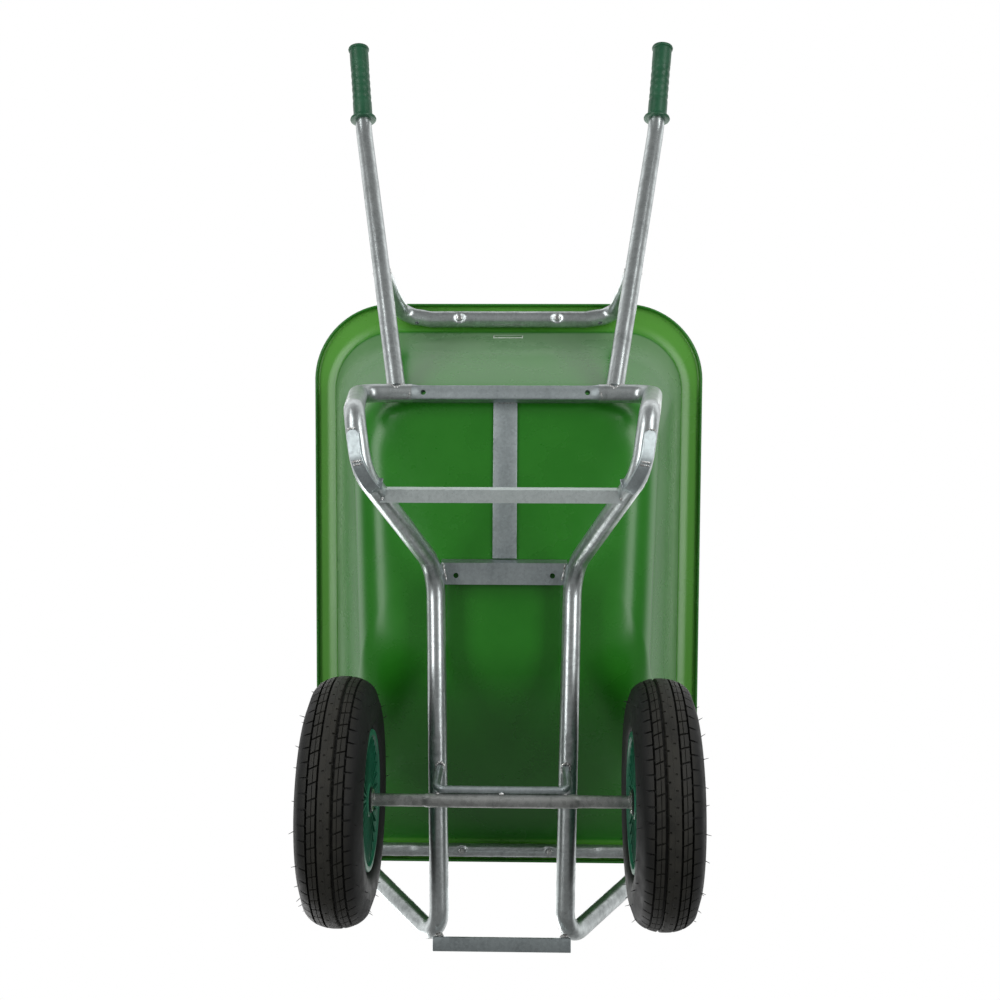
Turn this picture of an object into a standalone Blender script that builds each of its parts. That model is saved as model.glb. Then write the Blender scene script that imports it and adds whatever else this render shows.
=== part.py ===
"""Twin-wheel garden wheelbarrow: plastic tray, galvanised tube frame, two pneumatic wheels.

Metres, +Z up.  The barrow stands on its tyres and foot skids at z = 0, nose towards -Y, handles
towards +Y, symmetric about X = 0.  The origin is the middle of its footprint box, on the ground.
Heights and stations are given from the ground and from the axle; at() turns them into the frame.
"""

import math

import bmesh
import bpy
from mathutils import Matrix, Vector

# ---------------------------------------------------------------- driving dimensions
GAP = 0.0003                    # play between neighbouring pieces

REAR_REACH = 1.4422             # axle to the end of the grips
NOSE_REACH = 0.2575             # axle to the front edge of the nose bar
AXLE_Y = (NOSE_REACH - REAR_REACH) / 2.0

WHEEL_RADIUS = 0.195
WHEEL_X = 0.2525                # middle plane of a wheel
AXLE_Z = WHEEL_RADIUS
AXLE_RADIUS = 0.010
AXLE_MIDDLE_RADIUS = 0.011
AXLE_END_X = 0.3165

TUBE_RADIUS = 0.016             # main frame, handles and rim hoop
FRONT_TUBE_RADIUS = 0.0125
TUBE_BEVEL = 3                  # bevel resolution of a tube: ten sides

TRAY_THICKNESS = 0.004
TRAY_FLOOR_Z = 0.336            # underside of the flat floor
TRAY_FLANGE_Z = 0.6163          # underside of the rim flange
TRAY_REAR_Y = 0.904
TRAY_FRONT_Y = -0.181
TRAY_REAR_HALF = 0.382
TRAY_FRONT_HALF = 0.362

SKID_THICKNESS = 0.004
SKID_GAP = 2 * GAP
FOOT_Z = SKID_THICKNESS + SKID_GAP + TUBE_RADIUS
RAIL_Z = 0.300
CROSS_Z = TRAY_FLOOR_Z - GAP - TUBE_RADIUS
CROSS_Y = 0.676
CROSS_END_X = 0.168             # where the pressed cross bar meets the round frame tubes
PRESSED_HALF_WIDTH = 0.0137
HOOP_Z = TRAY_FLANGE_Z - GAP - TUBE_RADIUS
HOOP_Y = 0.871
FRONT_TUBE_Z = TRAY_FLANGE_Z - GAP - FRONT_TUBE_RADIUS
FRONT_TUBE_Y = -0.158
FRONT_TUBE_HALF = 0.312

REAR_BOLT_X = 0.096
FRONT_BOLT_X = 0.083
BOLT_RADIUS = 0.003

GRIP_LENGTH = 0.157
GRIP_RADIUS = 0.0187

RIM_RIBS = 20                   # on each side of a wheel centre
SIDES = {"left": 1.0, "right": -1.0}


def at(x, y, z):
    """Point of the frame from its side offset, its station behind the axle and its height."""
    return Vector((x, AXLE_Y + y, z))


# ---------------------------------------------------------------- scene helpers
def clear_scene():
    for old in list(bpy.data.objects):
        bpy.data.objects.remove(old, do_unlink=True)


def new_collection(name):
    group = bpy.data.collections.new(name)
    bpy.context.scene.collection.children.link(group)
    return group


clear_scene()
PARTS = new_collection("wheelbarrow")
CUTTERS = new_collection("cutters")


def new_material(name, colour, roughness, metallic):
    made = bpy.data.materials.new(name)
    made.use_nodes = True
    shader = made.node_tree.nodes["Principled BSDF"]
    shader.inputs["Base Color"].default_value = (*colour, 1.0)
    shader.inputs["Roughness"].default_value = roughness
    shader.inputs["Metallic"].default_value = metallic
    made.diffuse_color = (*colour, 1.0)
    return made


FINISHES = {
    "green_plastic": ((0.045, 0.235, 0.025), 0.42, 0.0),
    "galvanised_steel": ((0.62, 0.64, 0.65), 0.34, 1.0),
    "zinc_plated_steel": ((0.70, 0.71, 0.70), 0.28, 1.0),
    "dark_green_grip": ((0.010, 0.120, 0.055), 0.50, 0.0),
    "dark_green_rim": ((0.008, 0.105, 0.050), 0.40, 0.0),
    "tyre_rubber": ((0.025, 0.025, 0.024), 0.75, 0.0),
    "inner_tube_rubber": ((0.018, 0.018, 0.018), 0.60, 0.0),
    "black_nylon": ((0.015, 0.015, 0.016), 0.45, 0.0),
    "white_label": ((0.80, 0.82, 0.78), 0.50, 0.0),
}


def dress(part, finish):
    """Gives a part a material of its own in one of the finishes."""
    colour, roughness, metallic = FINISHES[finish]
    part.data.materials.clear()
    part.data.materials.append(new_material(part.name + "_" + finish, colour, roughness, metallic))
    return part


def add_part(name, mesh, finish, smooth=True):
    part = bpy.data.objects.new(name, mesh)
    PARTS.objects.link(part)
    if smooth:
        mesh.shade_smooth()
        mesh.set_sharp_from_angle(angle=math.radians(40))
    return dress(part, finish)


def add_cutter(name, mesh):
    cutter = bpy.data.objects.new(name, mesh)
    CUTTERS.objects.link(cutter)
    cutter.hide_render = True
    cutter.display_type = "WIRE"
    return cutter


def cut(part, cutter):
    """Takes the cutter's shape out of the part."""
    modifier = part.modifiers.new("cut_" + cutter.name, "BOOLEAN")
    modifier.operation = "DIFFERENCE"
    modifier.solver = "EXACT"
    modifier.object = cutter


def mesh_from_bmesh(name, shape):
    bmesh.ops.recalc_face_normals(shape, faces=shape.faces)
    mesh = bpy.data.meshes.new(name)
    shape.to_mesh(mesh)
    shape.free()
    return mesh


def axis_matrix(start, end):
    """Places a primitive built along Z between two points."""
    turn = (end - start).to_track_quat("Z", "Y").to_matrix().to_4x4()
    return Matrix.Translation((start + end) / 2.0) @ turn


def rod_mesh(name, start, end, radius, segments):
    shape = bmesh.new()
    bmesh.ops.create_cone(shape, cap_ends=True, segments=segments, radius1=radius, radius2=radius,
                          depth=(end - start).length, matrix=axis_matrix(start, end))
    return mesh_from_bmesh(name, shape)


def box_mesh(name, centre, size, turn=None):
    shape = bmesh.new()
    place = Matrix.Translation(centre) @ (turn or Matrix.Identity(4)) @ Matrix.Diagonal((*size, 1.0))
    bmesh.ops.create_cube(shape, size=1.0, matrix=place)
    return mesh_from_bmesh(name, shape)


# ---------------------------------------------------------------- tubes
def rounded_path(corners, radii, steps):
    """Polyline through the corners, each inner corner turned into an arc of its radius."""
    path = [corners[0]]
    for before, corner, after, radius in zip(corners, corners[1:], corners[2:], radii):
        to_before = (before - corner).normalized()
        to_after = (after - corner).normalized()
        half_angle = to_before.angle(to_after) / 2.0
        centre = corner + (to_before + to_after).normalized() * (radius / math.sin(half_angle))
        start = corner + to_before * (radius / math.tan(half_angle)) - centre
        end = corner + to_after * (radius / math.tan(half_angle)) - centre
        sweep = start.angle(end)
        for step in range(steps + 1):
            share = step / steps
            first = math.sin((1.0 - share) * sweep) / math.sin(sweep)
            second = math.sin(share * sweep) / math.sin(sweep)
            path.append(centre + start * first + end * second)
    path.append(corners[-1])
    return path


def tube_mesh(name, path, radius, bevel=TUBE_BEVEL):
    """Closed mesh of a round bar along a polyline."""
    curve = bpy.data.curves.new(name, "CURVE")
    curve.dimensions = "3D"
    curve.bevel_depth = radius
    curve.bevel_resolution = bevel
    curve.use_fill_caps = True
    spline = curve.splines.new("POLY")
    spline.points.add(len(path) - 1)
    for point, place in zip(spline.points, path):
        point.co = (*place, 1.0)
    holder = bpy.data.objects.new(name, curve)
    CUTTERS.objects.link(holder)
    depsgraph = bpy.context.evaluated_depsgraph_get()
    mesh = bpy.data.meshes.new_from_object(holder.evaluated_get(depsgraph))
    bpy.data.objects.remove(holder, do_unlink=True)
    bpy.data.curves.remove(curve)
    shape = bmesh.new()
    shape.from_mesh(mesh)
    bpy.data.meshes.remove(mesh)
    bmesh.ops.remove_doubles(shape, verts=shape.verts, dist=0.00001)
    return mesh_from_bmesh(name, shape)


def cope(part, name, path, radius):
    """Shapes the part's end to the tube it is welded against, with the usual gap."""
    clearance = 1.5 * GAP
    cut(part, add_cutter(name, tube_mesh(name, path, radius + clearance, bevel=10)))


def mirrored(path, side):
    return [Vector((side * place.x, place.y, place.z)) for place in path]


# The left side of each bent tube; the right side is its mirror image.
FRAME_CORNERS = [
    at(CROSS_END_X + GAP, CROSS_Y, CROSS_Z),
    at(0.2560, CROSS_Y, CROSS_Z),
    at(0.2205, 0.5985, FOOT_Z),
    at(0.2075, 0.5080, FOOT_Z),
    at(0.1165, 0.3720, RAIL_Z),
    at(0.1035, -0.2460, RAIL_Z),
    at(0.2960, FRONT_TUBE_Y - 0.003, FRONT_TUBE_Z - 0.012),
]
FRAME_RADII = [0.034, 0.045, 0.055, 0.080, 0.040]
FRAME_PATH = rounded_path(FRAME_CORNERS, FRAME_RADII, 5)

HANDLE_START = at(0.1883, CROSS_Y, CROSS_Z)
HANDLE_BEND = at(0.2925, 1.2550, 0.6080)
HANDLE_END = at(0.3090, 1.4345, 0.6290)
HANDLE_PATH = rounded_path([HANDLE_START, HANDLE_BEND, HANDLE_END], [0.120], 4)
GRIP_AXIS = (HANDLE_END - HANDLE_BEND).normalized()

HOOP_CORNERS = [
    at(0.1650, HOOP_Y, HOOP_Z),
    at(0.2105, 0.8822, HOOP_Z),
    at(0.2331, 0.9250, 0.4437),
]


def build_frame_tubes():
    front_tube = [at(-FRONT_TUBE_HALF, FRONT_TUBE_Y, FRONT_TUBE_Z),
                  at(FRONT_TUBE_HALF, FRONT_TUBE_Y, FRONT_TUBE_Z)]
    for side, sign in SIDES.items():
        path = mirrored(FRAME_PATH, sign)
        name = side + "_frame_tube"
        part = add_part(name, tube_mesh(name, path, TUBE_RADIUS), "galvanised_steel")
        cope(part, side + "_front_joint", front_tube, FRONT_TUBE_RADIUS)


def build_handles():
    cross_tube = [at(-0.24, CROSS_Y, CROSS_Z), at(0.24, CROSS_Y, CROSS_Z)]
    for side, sign in SIDES.items():
        path = mirrored(HANDLE_PATH, sign)
        name = side + "_handle_tube"
        part = add_part(name, tube_mesh(name, path, TUBE_RADIUS), "galvanised_steel")
        cope(part, side + "_handle_joint", cross_tube, TUBE_RADIUS)


def build_rim_hoop():
    """Tube under the rear rim, its ends turned down onto the handles."""
    half = [HOOP_CORNERS[0]] + rounded_path(HOOP_CORNERS, [0.034], 5)[1:]
    left = [half[0] - Vector((0.012, 0.0, 0.0)), half[0] + Vector((0.006, 0.003, 0.0))] + half[1:]
    path = mirrored(left[::-1], -1.0) + left
    hoop = add_part("rear_rim_hoop", tube_mesh("rear_rim_hoop", path, TUBE_RADIUS),
                    "galvanised_steel")
    for side, sign in SIDES.items():
        cope(hoop, side + "_hoop_joint", mirrored(HANDLE_PATH, sign), TUBE_RADIUS)
    return hoop


def build_front_tube():
    path = [at(-FRONT_TUBE_HALF, FRONT_TUBE_Y, FRONT_TUBE_Z),
            at(FRONT_TUBE_HALF, FRONT_TUBE_Y, FRONT_TUBE_Z)]
    return add_part("front_cross_tube", tube_mesh("front_cross_tube", path, FRONT_TUBE_RADIUS),
                    "galvanised_steel")


# ---------------------------------------------------------------- lofts
def loft_mesh(name, rings, close_ends=True):
    """Skin over rings of equal point counts, with flat end faces."""
    shape = bmesh.new()
    loops = [[shape.verts.new(place) for place in ring] for ring in rings]
    count = len(rings[0])
    for lower, upper in zip(loops, loops[1:]):
        for i in range(count):
            k = (i + 1) % count
            shape.faces.new((lower[i], lower[k], upper[k], upper[i]))
    if close_ends:
        shape.faces.new(loops[0][::-1])
        shape.faces.new(loops[-1])
    return mesh_from_bmesh(name, shape)


def rounded_section(half_width, half_height, radius, steps=3):
    """Points of a rectangle with round corners, anticlockwise from its +Y side."""
    points = []
    for quarter, (sy, sz) in enumerate([(1, 1), (-1, 1), (-1, -1), (1, -1)]):
        for step in range(steps + 1):
            angle = math.radians(90.0 * (quarter + step / steps))
            points.append((sy * (half_width - radius) + radius * math.cos(angle),
                           sz * (half_height - radius) + radius * math.sin(angle)))
    return points


def build_rear_cross_bar():
    """Tube pressed to a squarer section between its round ends, with two tray holes."""
    pressed_half_height = 0.0110
    press_start = 0.155
    hole_x = 0.142
    hole_radius = 0.0045
    round_section = rounded_section(TUBE_RADIUS, TUBE_RADIUS, TUBE_RADIUS * 0.98)
    pressed_section = rounded_section(PRESSED_HALF_WIDTH, pressed_half_height, 0.005)
    drop = TUBE_RADIUS - pressed_half_height
    stations = [(-CROSS_END_X, round_section, 0.0), (-press_start, pressed_section, drop),
                (press_start, pressed_section, drop), (CROSS_END_X, round_section, 0.0)]
    rings = [[at(x, CROSS_Y + y, CROSS_Z + rise + z) for y, z in section]
             for x, section, rise in stations]
    bar = add_part("rear_cross_bar", loft_mesh("rear_cross_bar", rings), "galvanised_steel")
    for side, sign in SIDES.items():
        low = at(sign * hole_x, CROSS_Y, CROSS_Z - 0.03)
        high = at(sign * hole_x, CROSS_Y, CROSS_Z + 0.03)
        name = side + "_cross_hole"
        cut(bar, add_cutter(name, rod_mesh(name, low, high, hole_radius, 12)))


# ---------------------------------------------------------------- tray
TRAY_CORNER_STEPS = 6


def outline(rear_y, front_y, rear_half, front_half, rear_radius, front_radius, height):
    """Closed round-cornered trapezium seen from above, anticlockwise from the rear left."""
    corners = [(1, rear_half, rear_y, rear_radius, 0),
               (-1, rear_half, rear_y, rear_radius, 90),
               (-1, front_half, front_y, front_radius, 180),
               (1, front_half, front_y, front_radius, 270)]
    points = []
    for sign, half, y, radius, start in corners:
        inward = -1 if start < 180 else 1
        for step in range(TRAY_CORNER_STEPS + 1):
            angle = math.radians(start + 90.0 * step / TRAY_CORNER_STEPS)
            points.append(at(sign * (half - radius) + radius * math.cos(angle),
                             y + inward * radius + radius * math.sin(angle), height))
    return points


# shares of the way from the floor outline to the mouth outline, for the front and rear walls and
# then for the rounder side walls, and the height above the floor
TRAY_WALL = [(0.0, 0.0, 0.0), (0.045, 0.161, 0.006), (0.1025, 0.314, 0.024), (0.211, 0.461, 0.054),
             (0.368, 0.601, 0.096), (0.570, 0.733, 0.150), (0.975, 0.962, 0.258),
             (0.990, 0.985, 0.270)]
REAR_WALL_LOW = (0.211, 0.054)
REAR_WALL_HIGH = (0.975, 0.258)
FLOOR_SHAPE = (0.668, 0.215, 0.195, 0.180, 0.095, 0.095)
MOUTH_SHAPE = (0.850, -0.140, 0.341, 0.322, 0.115, 0.060)
RIM_SHAPE = (TRAY_REAR_Y, TRAY_FRONT_Y, TRAY_REAR_HALF, TRAY_FRONT_HALF, 0.150, 0.070)
LIP_DROP = 0.009


def wall_ring(end_share, side_share, rise, offset):
    """Ring of the wall; the offset moves it outwards and down to the shell's inner side."""
    corner_share = (end_share + side_share) / 2.0
    shares = (end_share, end_share, side_share, side_share, corner_share, corner_share)
    shape = [low + (high - low) * share
             for low, high, share in zip(FLOOR_SHAPE, MOUTH_SHAPE, shares)]
    rear_y, front_y, rear_half, front_half, rear_radius, front_radius = shape
    return outline(rear_y - offset, front_y + offset, rear_half - offset, front_half - offset,
                   rear_radius - offset, front_radius - offset, TRAY_FLOOR_Z + rise)


def rim_ring(inset, height):
    rear_y, front_y, rear_half, front_half, rear_radius, front_radius = RIM_SHAPE
    return outline(rear_y - inset, front_y + inset, rear_half - inset, front_half - inset,
                   rear_radius - inset, front_radius - inset, height)


def build_tray():
    """One shell: floor, sloping walls, flat rim flange and its turned-down lip."""
    under = [wall_ring(*station, 0.0) for station in TRAY_WALL]
    under.append(wall_ring(1.0, 1.0, TRAY_FLANGE_Z - TRAY_FLOOR_Z, 0.0))
    lip_z = TRAY_FLANGE_Z - LIP_DROP
    under.append(rim_ring(TRAY_THICKNESS, TRAY_FLANGE_Z))
    under.append(rim_ring(TRAY_THICKNESS, lip_z))
    top_z = TRAY_FLANGE_Z + TRAY_THICKNESS
    over = [rim_ring(0.0, lip_z), rim_ring(0.0, top_z - 0.002), rim_ring(0.002, top_z)]
    mouth = wall_ring(1.0, 1.0, top_z - TRAY_FLOOR_Z, TRAY_THICKNESS)
    over.append(mouth)
    for end_share, side_share, rise in reversed(TRAY_WALL):
        over.append(wall_ring(end_share, side_share, rise + TRAY_THICKNESS, 0.8 * TRAY_THICKNESS))
    tray = add_part("tray", loft_mesh("tray", under + over), "green_plastic")
    for name, x, y in bolt_places():
        low = at(x, y, TRAY_FLANGE_Z - 0.01)
        high = at(x, y, TRAY_FLANGE_Z + 0.02)
        cutter = rod_mesh(name + "_tray_hole", low, high, BOLT_RADIUS + 2 * GAP, 12)
        cut(tray, add_cutter(name + "_tray_hole", cutter))


def build_label_plate():
    """Blank plate on the outside of the rear wall, just under the rim."""
    low_share, low_rise = REAR_WALL_LOW
    high_share, high_rise = REAR_WALL_HIGH
    rear_low = FLOOR_SHAPE[0] + (MOUTH_SHAPE[0] - FLOOR_SHAPE[0]) * low_share
    rear_high = FLOOR_SHAPE[0] + (MOUTH_SHAPE[0] - FLOOR_SHAPE[0]) * high_share
    slope = math.atan2(high_rise - low_rise, rear_high - rear_low)
    along = 0.92
    thickness = 0.0008
    spot = at(0.0, rear_low + (rear_high - rear_low) * along,
              TRAY_FLOOR_Z + low_rise + (high_rise - low_rise) * along)
    outward = Vector((0.0, math.sin(slope), -math.cos(slope)))
    centre = spot + outward * (thickness / 2.0 + GAP)
    plate = box_mesh("label_plate", centre, (0.059, 0.0085, thickness),
                     Matrix.Rotation(slope, 4, "X"))
    add_part("label_plate", plate, "white_label", smooth=False)


# ---------------------------------------------------------------- flat bars
def angle_profile(width, height, thickness):
    """L section: a flat face forwards of its corner and an upright flange."""
    return [(0.0, 0.0), (0.0, height), (-thickness, height), (-thickness, thickness),
            (-width, thickness), (-width, 0.0)]


def angle_bar(name, half_length, corner_y, corner_z, width, height, thickness, tilt):
    rings = []
    for x in (-half_length, half_length):
        ring = []
        for y, z in angle_profile(width, height, thickness):
            ring.append(at(x, corner_y + y * math.cos(tilt) + z * math.sin(tilt),
                           corner_z - y * math.sin(tilt) + z * math.cos(tilt)))
        rings.append(ring)
    bar = add_part(name, loft_mesh(name, rings), "galvanised_steel", smooth=False)
    for side, sign in SIDES.items():
        cope(bar, side + "_" + name + "_joint", mirrored(FRAME_PATH, sign), TUBE_RADIUS)
    return bar


def build_flat_bars():
    """Front angle bar, the brace between the legs, the strap under the floor and the nose bar."""
    front = angle_bar("front_angle_bar", half_length=0.112, corner_y=0.3814, corner_z=0.3045,
                      width=0.0380, height=0.0300, thickness=0.003, tilt=math.radians(14))
    hole_x, hole_y, hole_radius = 0.0824, 0.3600, 0.0045
    for side, sign in SIDES.items():
        low = at(sign * hole_x, hole_y, RAIL_Z - 0.02)
        high = at(sign * hole_x, hole_y, RAIL_Z + 0.05)
        name = side + "_front_bar_hole"
        cut(front, add_cutter(name, rod_mesh(name, low, high, hole_radius, 12)))
    angle_bar("leg_brace", half_length=0.186, corner_y=0.4850, corner_z=0.0640,
              width=0.0205, height=0.0200, thickness=0.003, tilt=math.radians(17))

    strap_half_width = 0.0208
    strap_thickness = 0.004
    strap_rear = CROSS_Y - PRESSED_HALF_WIDTH - GAP
    strap_front = 0.3900
    centre = at(0.0, (strap_rear + strap_front) / 2.0, TRAY_FLOOR_Z - GAP - strap_thickness / 2.0)
    size = (2.0 * strap_half_width, strap_rear - strap_front, strap_thickness)
    add_part("centre_strap", box_mesh("centre_strap", centre, size), "galvanised_steel",
             smooth=False)

    nose_depth = 0.023
    nose_thickness = 0.006
    centre = at(0.0, nose_depth / 2.0 - NOSE_REACH,
                RAIL_Z - TUBE_RADIUS - GAP - nose_thickness / 2.0)
    size = (0.227, nose_depth, nose_thickness)
    add_part("nose_bar", box_mesh("nose_bar", centre, size), "galvanised_steel", smooth=False)


def build_skids():
    """Flat wear strips along the underside of each foot, from the rear upright to the front leg."""
    half_width = 0.0095
    first = len(rounded_path(FRAME_CORNERS[:3], FRAME_RADII[:1], 5)) - 1
    foot = FRAME_PATH[first:first + 12]
    rear_leg = FRAME_CORNERS[2] + (FRAME_CORNERS[1] - FRAME_CORNERS[2]) * 0.26
    front_leg = FRAME_CORNERS[3] + (FRAME_CORNERS[4] - FRAME_CORNERS[3]) * 0.12
    centre_line = [rear_leg] + foot + [front_leg]
    for side, sign in SIDES.items():
        rings = []
        line = mirrored(centre_line, sign)
        for i, place in enumerate(line):
            along = (line[min(i + 1, len(line) - 1)] - line[max(i - 1, 0)]).normalized()
            across = along.cross(Vector((0.0, 0.0, -1.0))).normalized()
            out = across.cross(along).normalized()
            if out.z > 0.0:
                out.negate()
            near = place + out * (TUBE_RADIUS + SKID_GAP)
            far = near + out * SKID_THICKNESS
            rings.append([near - across * half_width, near + across * half_width,
                          far + across * half_width, far - across * half_width])
        name = side + "_skid_plate"
        add_part(name, loft_mesh(name, rings), "galvanised_steel", smooth=False)


# ---------------------------------------------------------------- axle
BRACKET_ROD = 0.006
BRACKET_X = 0.105
BRACKET_Y = AXLE_MIDDLE_RADIUS + GAP + BRACKET_ROD


def build_axle():
    half = 0.120
    steps = [(AXLE_END_X, AXLE_RADIUS), (half, AXLE_RADIUS), (half, AXLE_MIDDLE_RADIUS),
             (-half, AXLE_MIDDLE_RADIUS), (-half, AXLE_RADIUS), (-AXLE_END_X, AXLE_RADIUS)]
    axle = lathe("axle", steps, 20, at(0.0, 0.0, AXLE_Z), "galvanised_steel")
    for name, x in pin_places():
        low = at(x, 0.0, AXLE_Z - 0.02)
        high = at(x, 0.0, AXLE_Z + 0.02)
        cut(axle, add_cutter(name + "_hole", rod_mesh(name + "_hole", low, high, 0.0020, 8)))


def build_axle_bracket():
    """Rod bent to a U: its cross runs behind the axle, its legs lean back up to the rails."""
    foot = at(BRACKET_X, BRACKET_Y, AXLE_Z)
    top = at(BRACKET_X, 0.0415, RAIL_Z - 0.010)
    half = rounded_path([at(0.0, BRACKET_Y, AXLE_Z), foot, top], [0.014], 4)[1:]
    path = mirrored(half[::-1], -1.0) + half
    bracket = add_part("axle_bracket", tube_mesh("axle_bracket", path, BRACKET_ROD),
                       "galvanised_steel")
    for side, sign in SIDES.items():
        cope(bracket, side + "_bracket_joint", mirrored(FRAME_PATH, sign), TUBE_RADIUS)


# ---------------------------------------------------------------- turned parts
def lathe(name, profile, steps, centre, finish, axis=Vector((1.0, 0.0, 0.0)), parent=None):
    """Turned part about an axis through its centre.

    The profile is a list of (distance along the axis, radius) from the far end to the near end;
    a closed ring profile repeats its first point.
    """
    mesh = bpy.data.meshes.new(name)
    closed = profile[0] == profile[-1]
    places = [(radius, 0.0, along) for along, radius in profile]
    if closed:
        places.pop()
        edges = [(i, (i + 1) % len(places)) for i in range(len(places))]
    else:
        places = [(0.0, 0.0, places[0][2])] + places + [(0.0, 0.0, places[-1][2])]
        edges = [(i, i + 1) for i in range(len(places) - 1)]
    mesh.from_pydata(places, edges, [])
    part = bpy.data.objects.new(name, mesh)
    PARTS.objects.link(part)
    screw = part.modifiers.new("turn", "SCREW")
    screw.steps = steps
    screw.render_steps = steps
    screw.use_merge_vertices = True
    screw.merge_threshold = 0.00005
    screw.use_smooth_shade = True
    part.rotation_mode = "QUATERNION"
    part.rotation_quaternion = axis.to_track_quat("Z", "Y")
    part.location = centre
    if parent is not None:
        part.parent = parent
        part.matrix_parent_inverse = parent.matrix_world.inverted()
    return dress(part, finish)


def ring_profile(near, far, inner, outer):
    """Closed rectangular section of a washer or bush."""
    return [(far, inner), (far, outer), (near, outer), (near, inner), (far, inner)]


def build_grips():
    """Sleeves with a small flange at the closed end and a wider hand stop at the open end."""
    end_wall = 0.0045
    waist = GRIP_RADIUS - 0.0006
    bore = TUBE_RADIUS + GAP
    profile = [(0.0, 0.0205), (-0.003, 0.0212), (-0.006, 0.0205), (-0.007, GRIP_RADIUS),
               (-0.040, GRIP_RADIUS), (-0.041, waist), (-0.116, waist), (-0.117, GRIP_RADIUS),
               (-0.1500, GRIP_RADIUS), (-0.1510, 0.0255), (-0.1550, 0.0262),
               (-GRIP_LENGTH, 0.0250), (-GRIP_LENGTH, bore), (-end_wall, bore)]
    for side, sign in SIDES.items():
        end = Vector((sign * HANDLE_END.x, HANDLE_END.y, HANDLE_END.z))
        axis = Vector((sign * GRIP_AXIS.x, GRIP_AXIS.y, GRIP_AXIS.z))
        lathe(side + "_grip", profile, 20, end + axis * (end_wall + GAP), "dark_green_grip",
              axis=axis)


def bolt_places():
    return [("rear_left", REAR_BOLT_X, HOOP_Y), ("rear_right", -REAR_BOLT_X, HOOP_Y),
            ("front_left", FRONT_BOLT_X, FRONT_TUBE_Y), ("front_right", -FRONT_BOLT_X, FRONT_TUBE_Y)]


def build_fasteners(hoop, front_tube):
    """Tray bolts through the rim flange and its tube, a washer under each head, a nut below."""
    up = Vector((0.0, 0.0, 1.0))
    flange_top = TRAY_FLANGE_Z + TRAY_THICKNESS
    nut_seat = 0.0045
    nut_height = 0.005
    for name, x, y in bolt_places():
        tube, radius, tube_z = (hoop, TUBE_RADIUS, HOOP_Z)
        if name.startswith("front"):
            tube, radius, tube_z = (front_tube, FRONT_TUBE_RADIUS, FRONT_TUBE_Z)
        bottom = tube_z - radius
        bore = rod_mesh(name + "_tube_hole", at(x, y, bottom - 0.01), at(x, y, flange_top),
                        BOLT_RADIUS + GAP, 12)
        cut(tube, add_cutter(name + "_tube_hole", bore))
        seat = rod_mesh(name + "_nut_seat", at(x, y, bottom - 0.01), at(x, y, bottom + nut_seat),
                        0.0078, 12)
        cut(tube, add_cutter(name + "_nut_seat", seat))

        washer_top = flange_top + GAP + 0.0012
        lathe(name + "_washer", ring_profile(0.0, 0.0012, BOLT_RADIUS + GAP, 0.0080), 12,
              at(x, y, flange_top + GAP), "zinc_plated_steel", axis=up)
        head = [(0.0040, 0.0030), (0.0034, 0.0048), (0.0018, 0.0060), (0.0, 0.0062),
                (0.0, BOLT_RADIUS), (bottom - washer_top - GAP, BOLT_RADIUS)]
        lathe(name + "_bolt", head, 12, at(x, y, washer_top + GAP), "zinc_plated_steel", axis=up)
        nut_top = bottom + nut_seat - GAP
        shape = bmesh.new()
        bmesh.ops.create_cone(shape, cap_ends=True, segments=6, radius1=0.0058, radius2=0.0058,
                              depth=nut_height,
                              matrix=Matrix.Translation(at(x, y, nut_top - nut_height / 2.0)))
        nut = add_part(name + "_nut", mesh_from_bmesh(name + "_nut", shape), "zinc_plated_steel",
                       smooth=False)
        thread = rod_mesh(name + "_nut_bore", at(x, y, nut_top - 0.02), at(x, y, nut_top + 0.01),
                          BOLT_RADIUS + GAP, 12)
        cut(nut, add_cutter(name + "_nut_bore", thread))


# ---------------------------------------------------------------- wheels
HUB_HALF = 0.0435
BUSH_FLANGE = 0.0018
WASHER_THICKNESS = 0.0020
RIM_EDGE = 0.0450
RIB_FACE = 0.0400


def pin_places():
    """Split pins through the axle, one on each side of each wheel."""
    reach = HUB_HALF + 2 * GAP + BUSH_FLANGE + GAP + WASHER_THICKNESS + 0.0022
    places = []
    for side, sign in SIDES.items():
        places.append((side + "_inner_split_pin", sign * (WHEEL_X - reach)))
        places.append((side + "_outer_split_pin", sign * (WHEEL_X + reach)))
    return places


def build_tyre(side, centre, parent):
    outside = [(0.0375, 0.1040), (0.0375, 0.1122), (0.0450, 0.1145), (0.0508, 0.1400),
               (0.0480, 0.1720), (0.0370, 0.1880), (0.0200, 0.1936)]
    inside = [(0.0300, 0.1040), (0.0330, 0.1180), (0.0440, 0.1420), (0.0380, 0.1730),
              (0.0, 0.1850)]
    loop = list(outside)
    loop.append((0.0, WHEEL_RADIUS))
    loop += [(-x, radius) for x, radius in reversed(outside)]
    loop += [(-x, radius) for x, radius in inside]
    loop += list(reversed(inside[:-1]))
    loop.append(loop[0])
    lathe(side + "_tyre", loop, 32, centre, "tyre_rubber", parent=parent)


def build_inner_tube(side, centre, parent):
    middle_radius, half_width, half_height, points = 0.1440, 0.034, 0.034, 8
    loop = []
    for i in range(points):
        angle = 2.0 * math.pi * i / points
        loop.append((half_width * math.cos(angle), middle_radius + half_height * math.sin(angle)))
    loop.append(loop[0])
    lathe(side + "_inner_tube", loop, 24, centre, "inner_tube_rubber", parent=parent)


def rim_profile():
    half = [(RIB_FACE, 0.0270), (HUB_HALF, 0.0270), (HUB_HALF, 0.0167)]
    outer = [(RIB_FACE, 0.0980), (RIM_EDGE, 0.1010), (RIM_EDGE, 0.1110), (0.0380, 0.1110),
             (0.0380, 0.1035)]
    loop = half[::-1] + outer
    loop += [(-x, radius) for x, radius in reversed(outer)]
    loop += [(-x, radius) for x, radius in half]
    loop.append(loop[0])
    return loop


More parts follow.
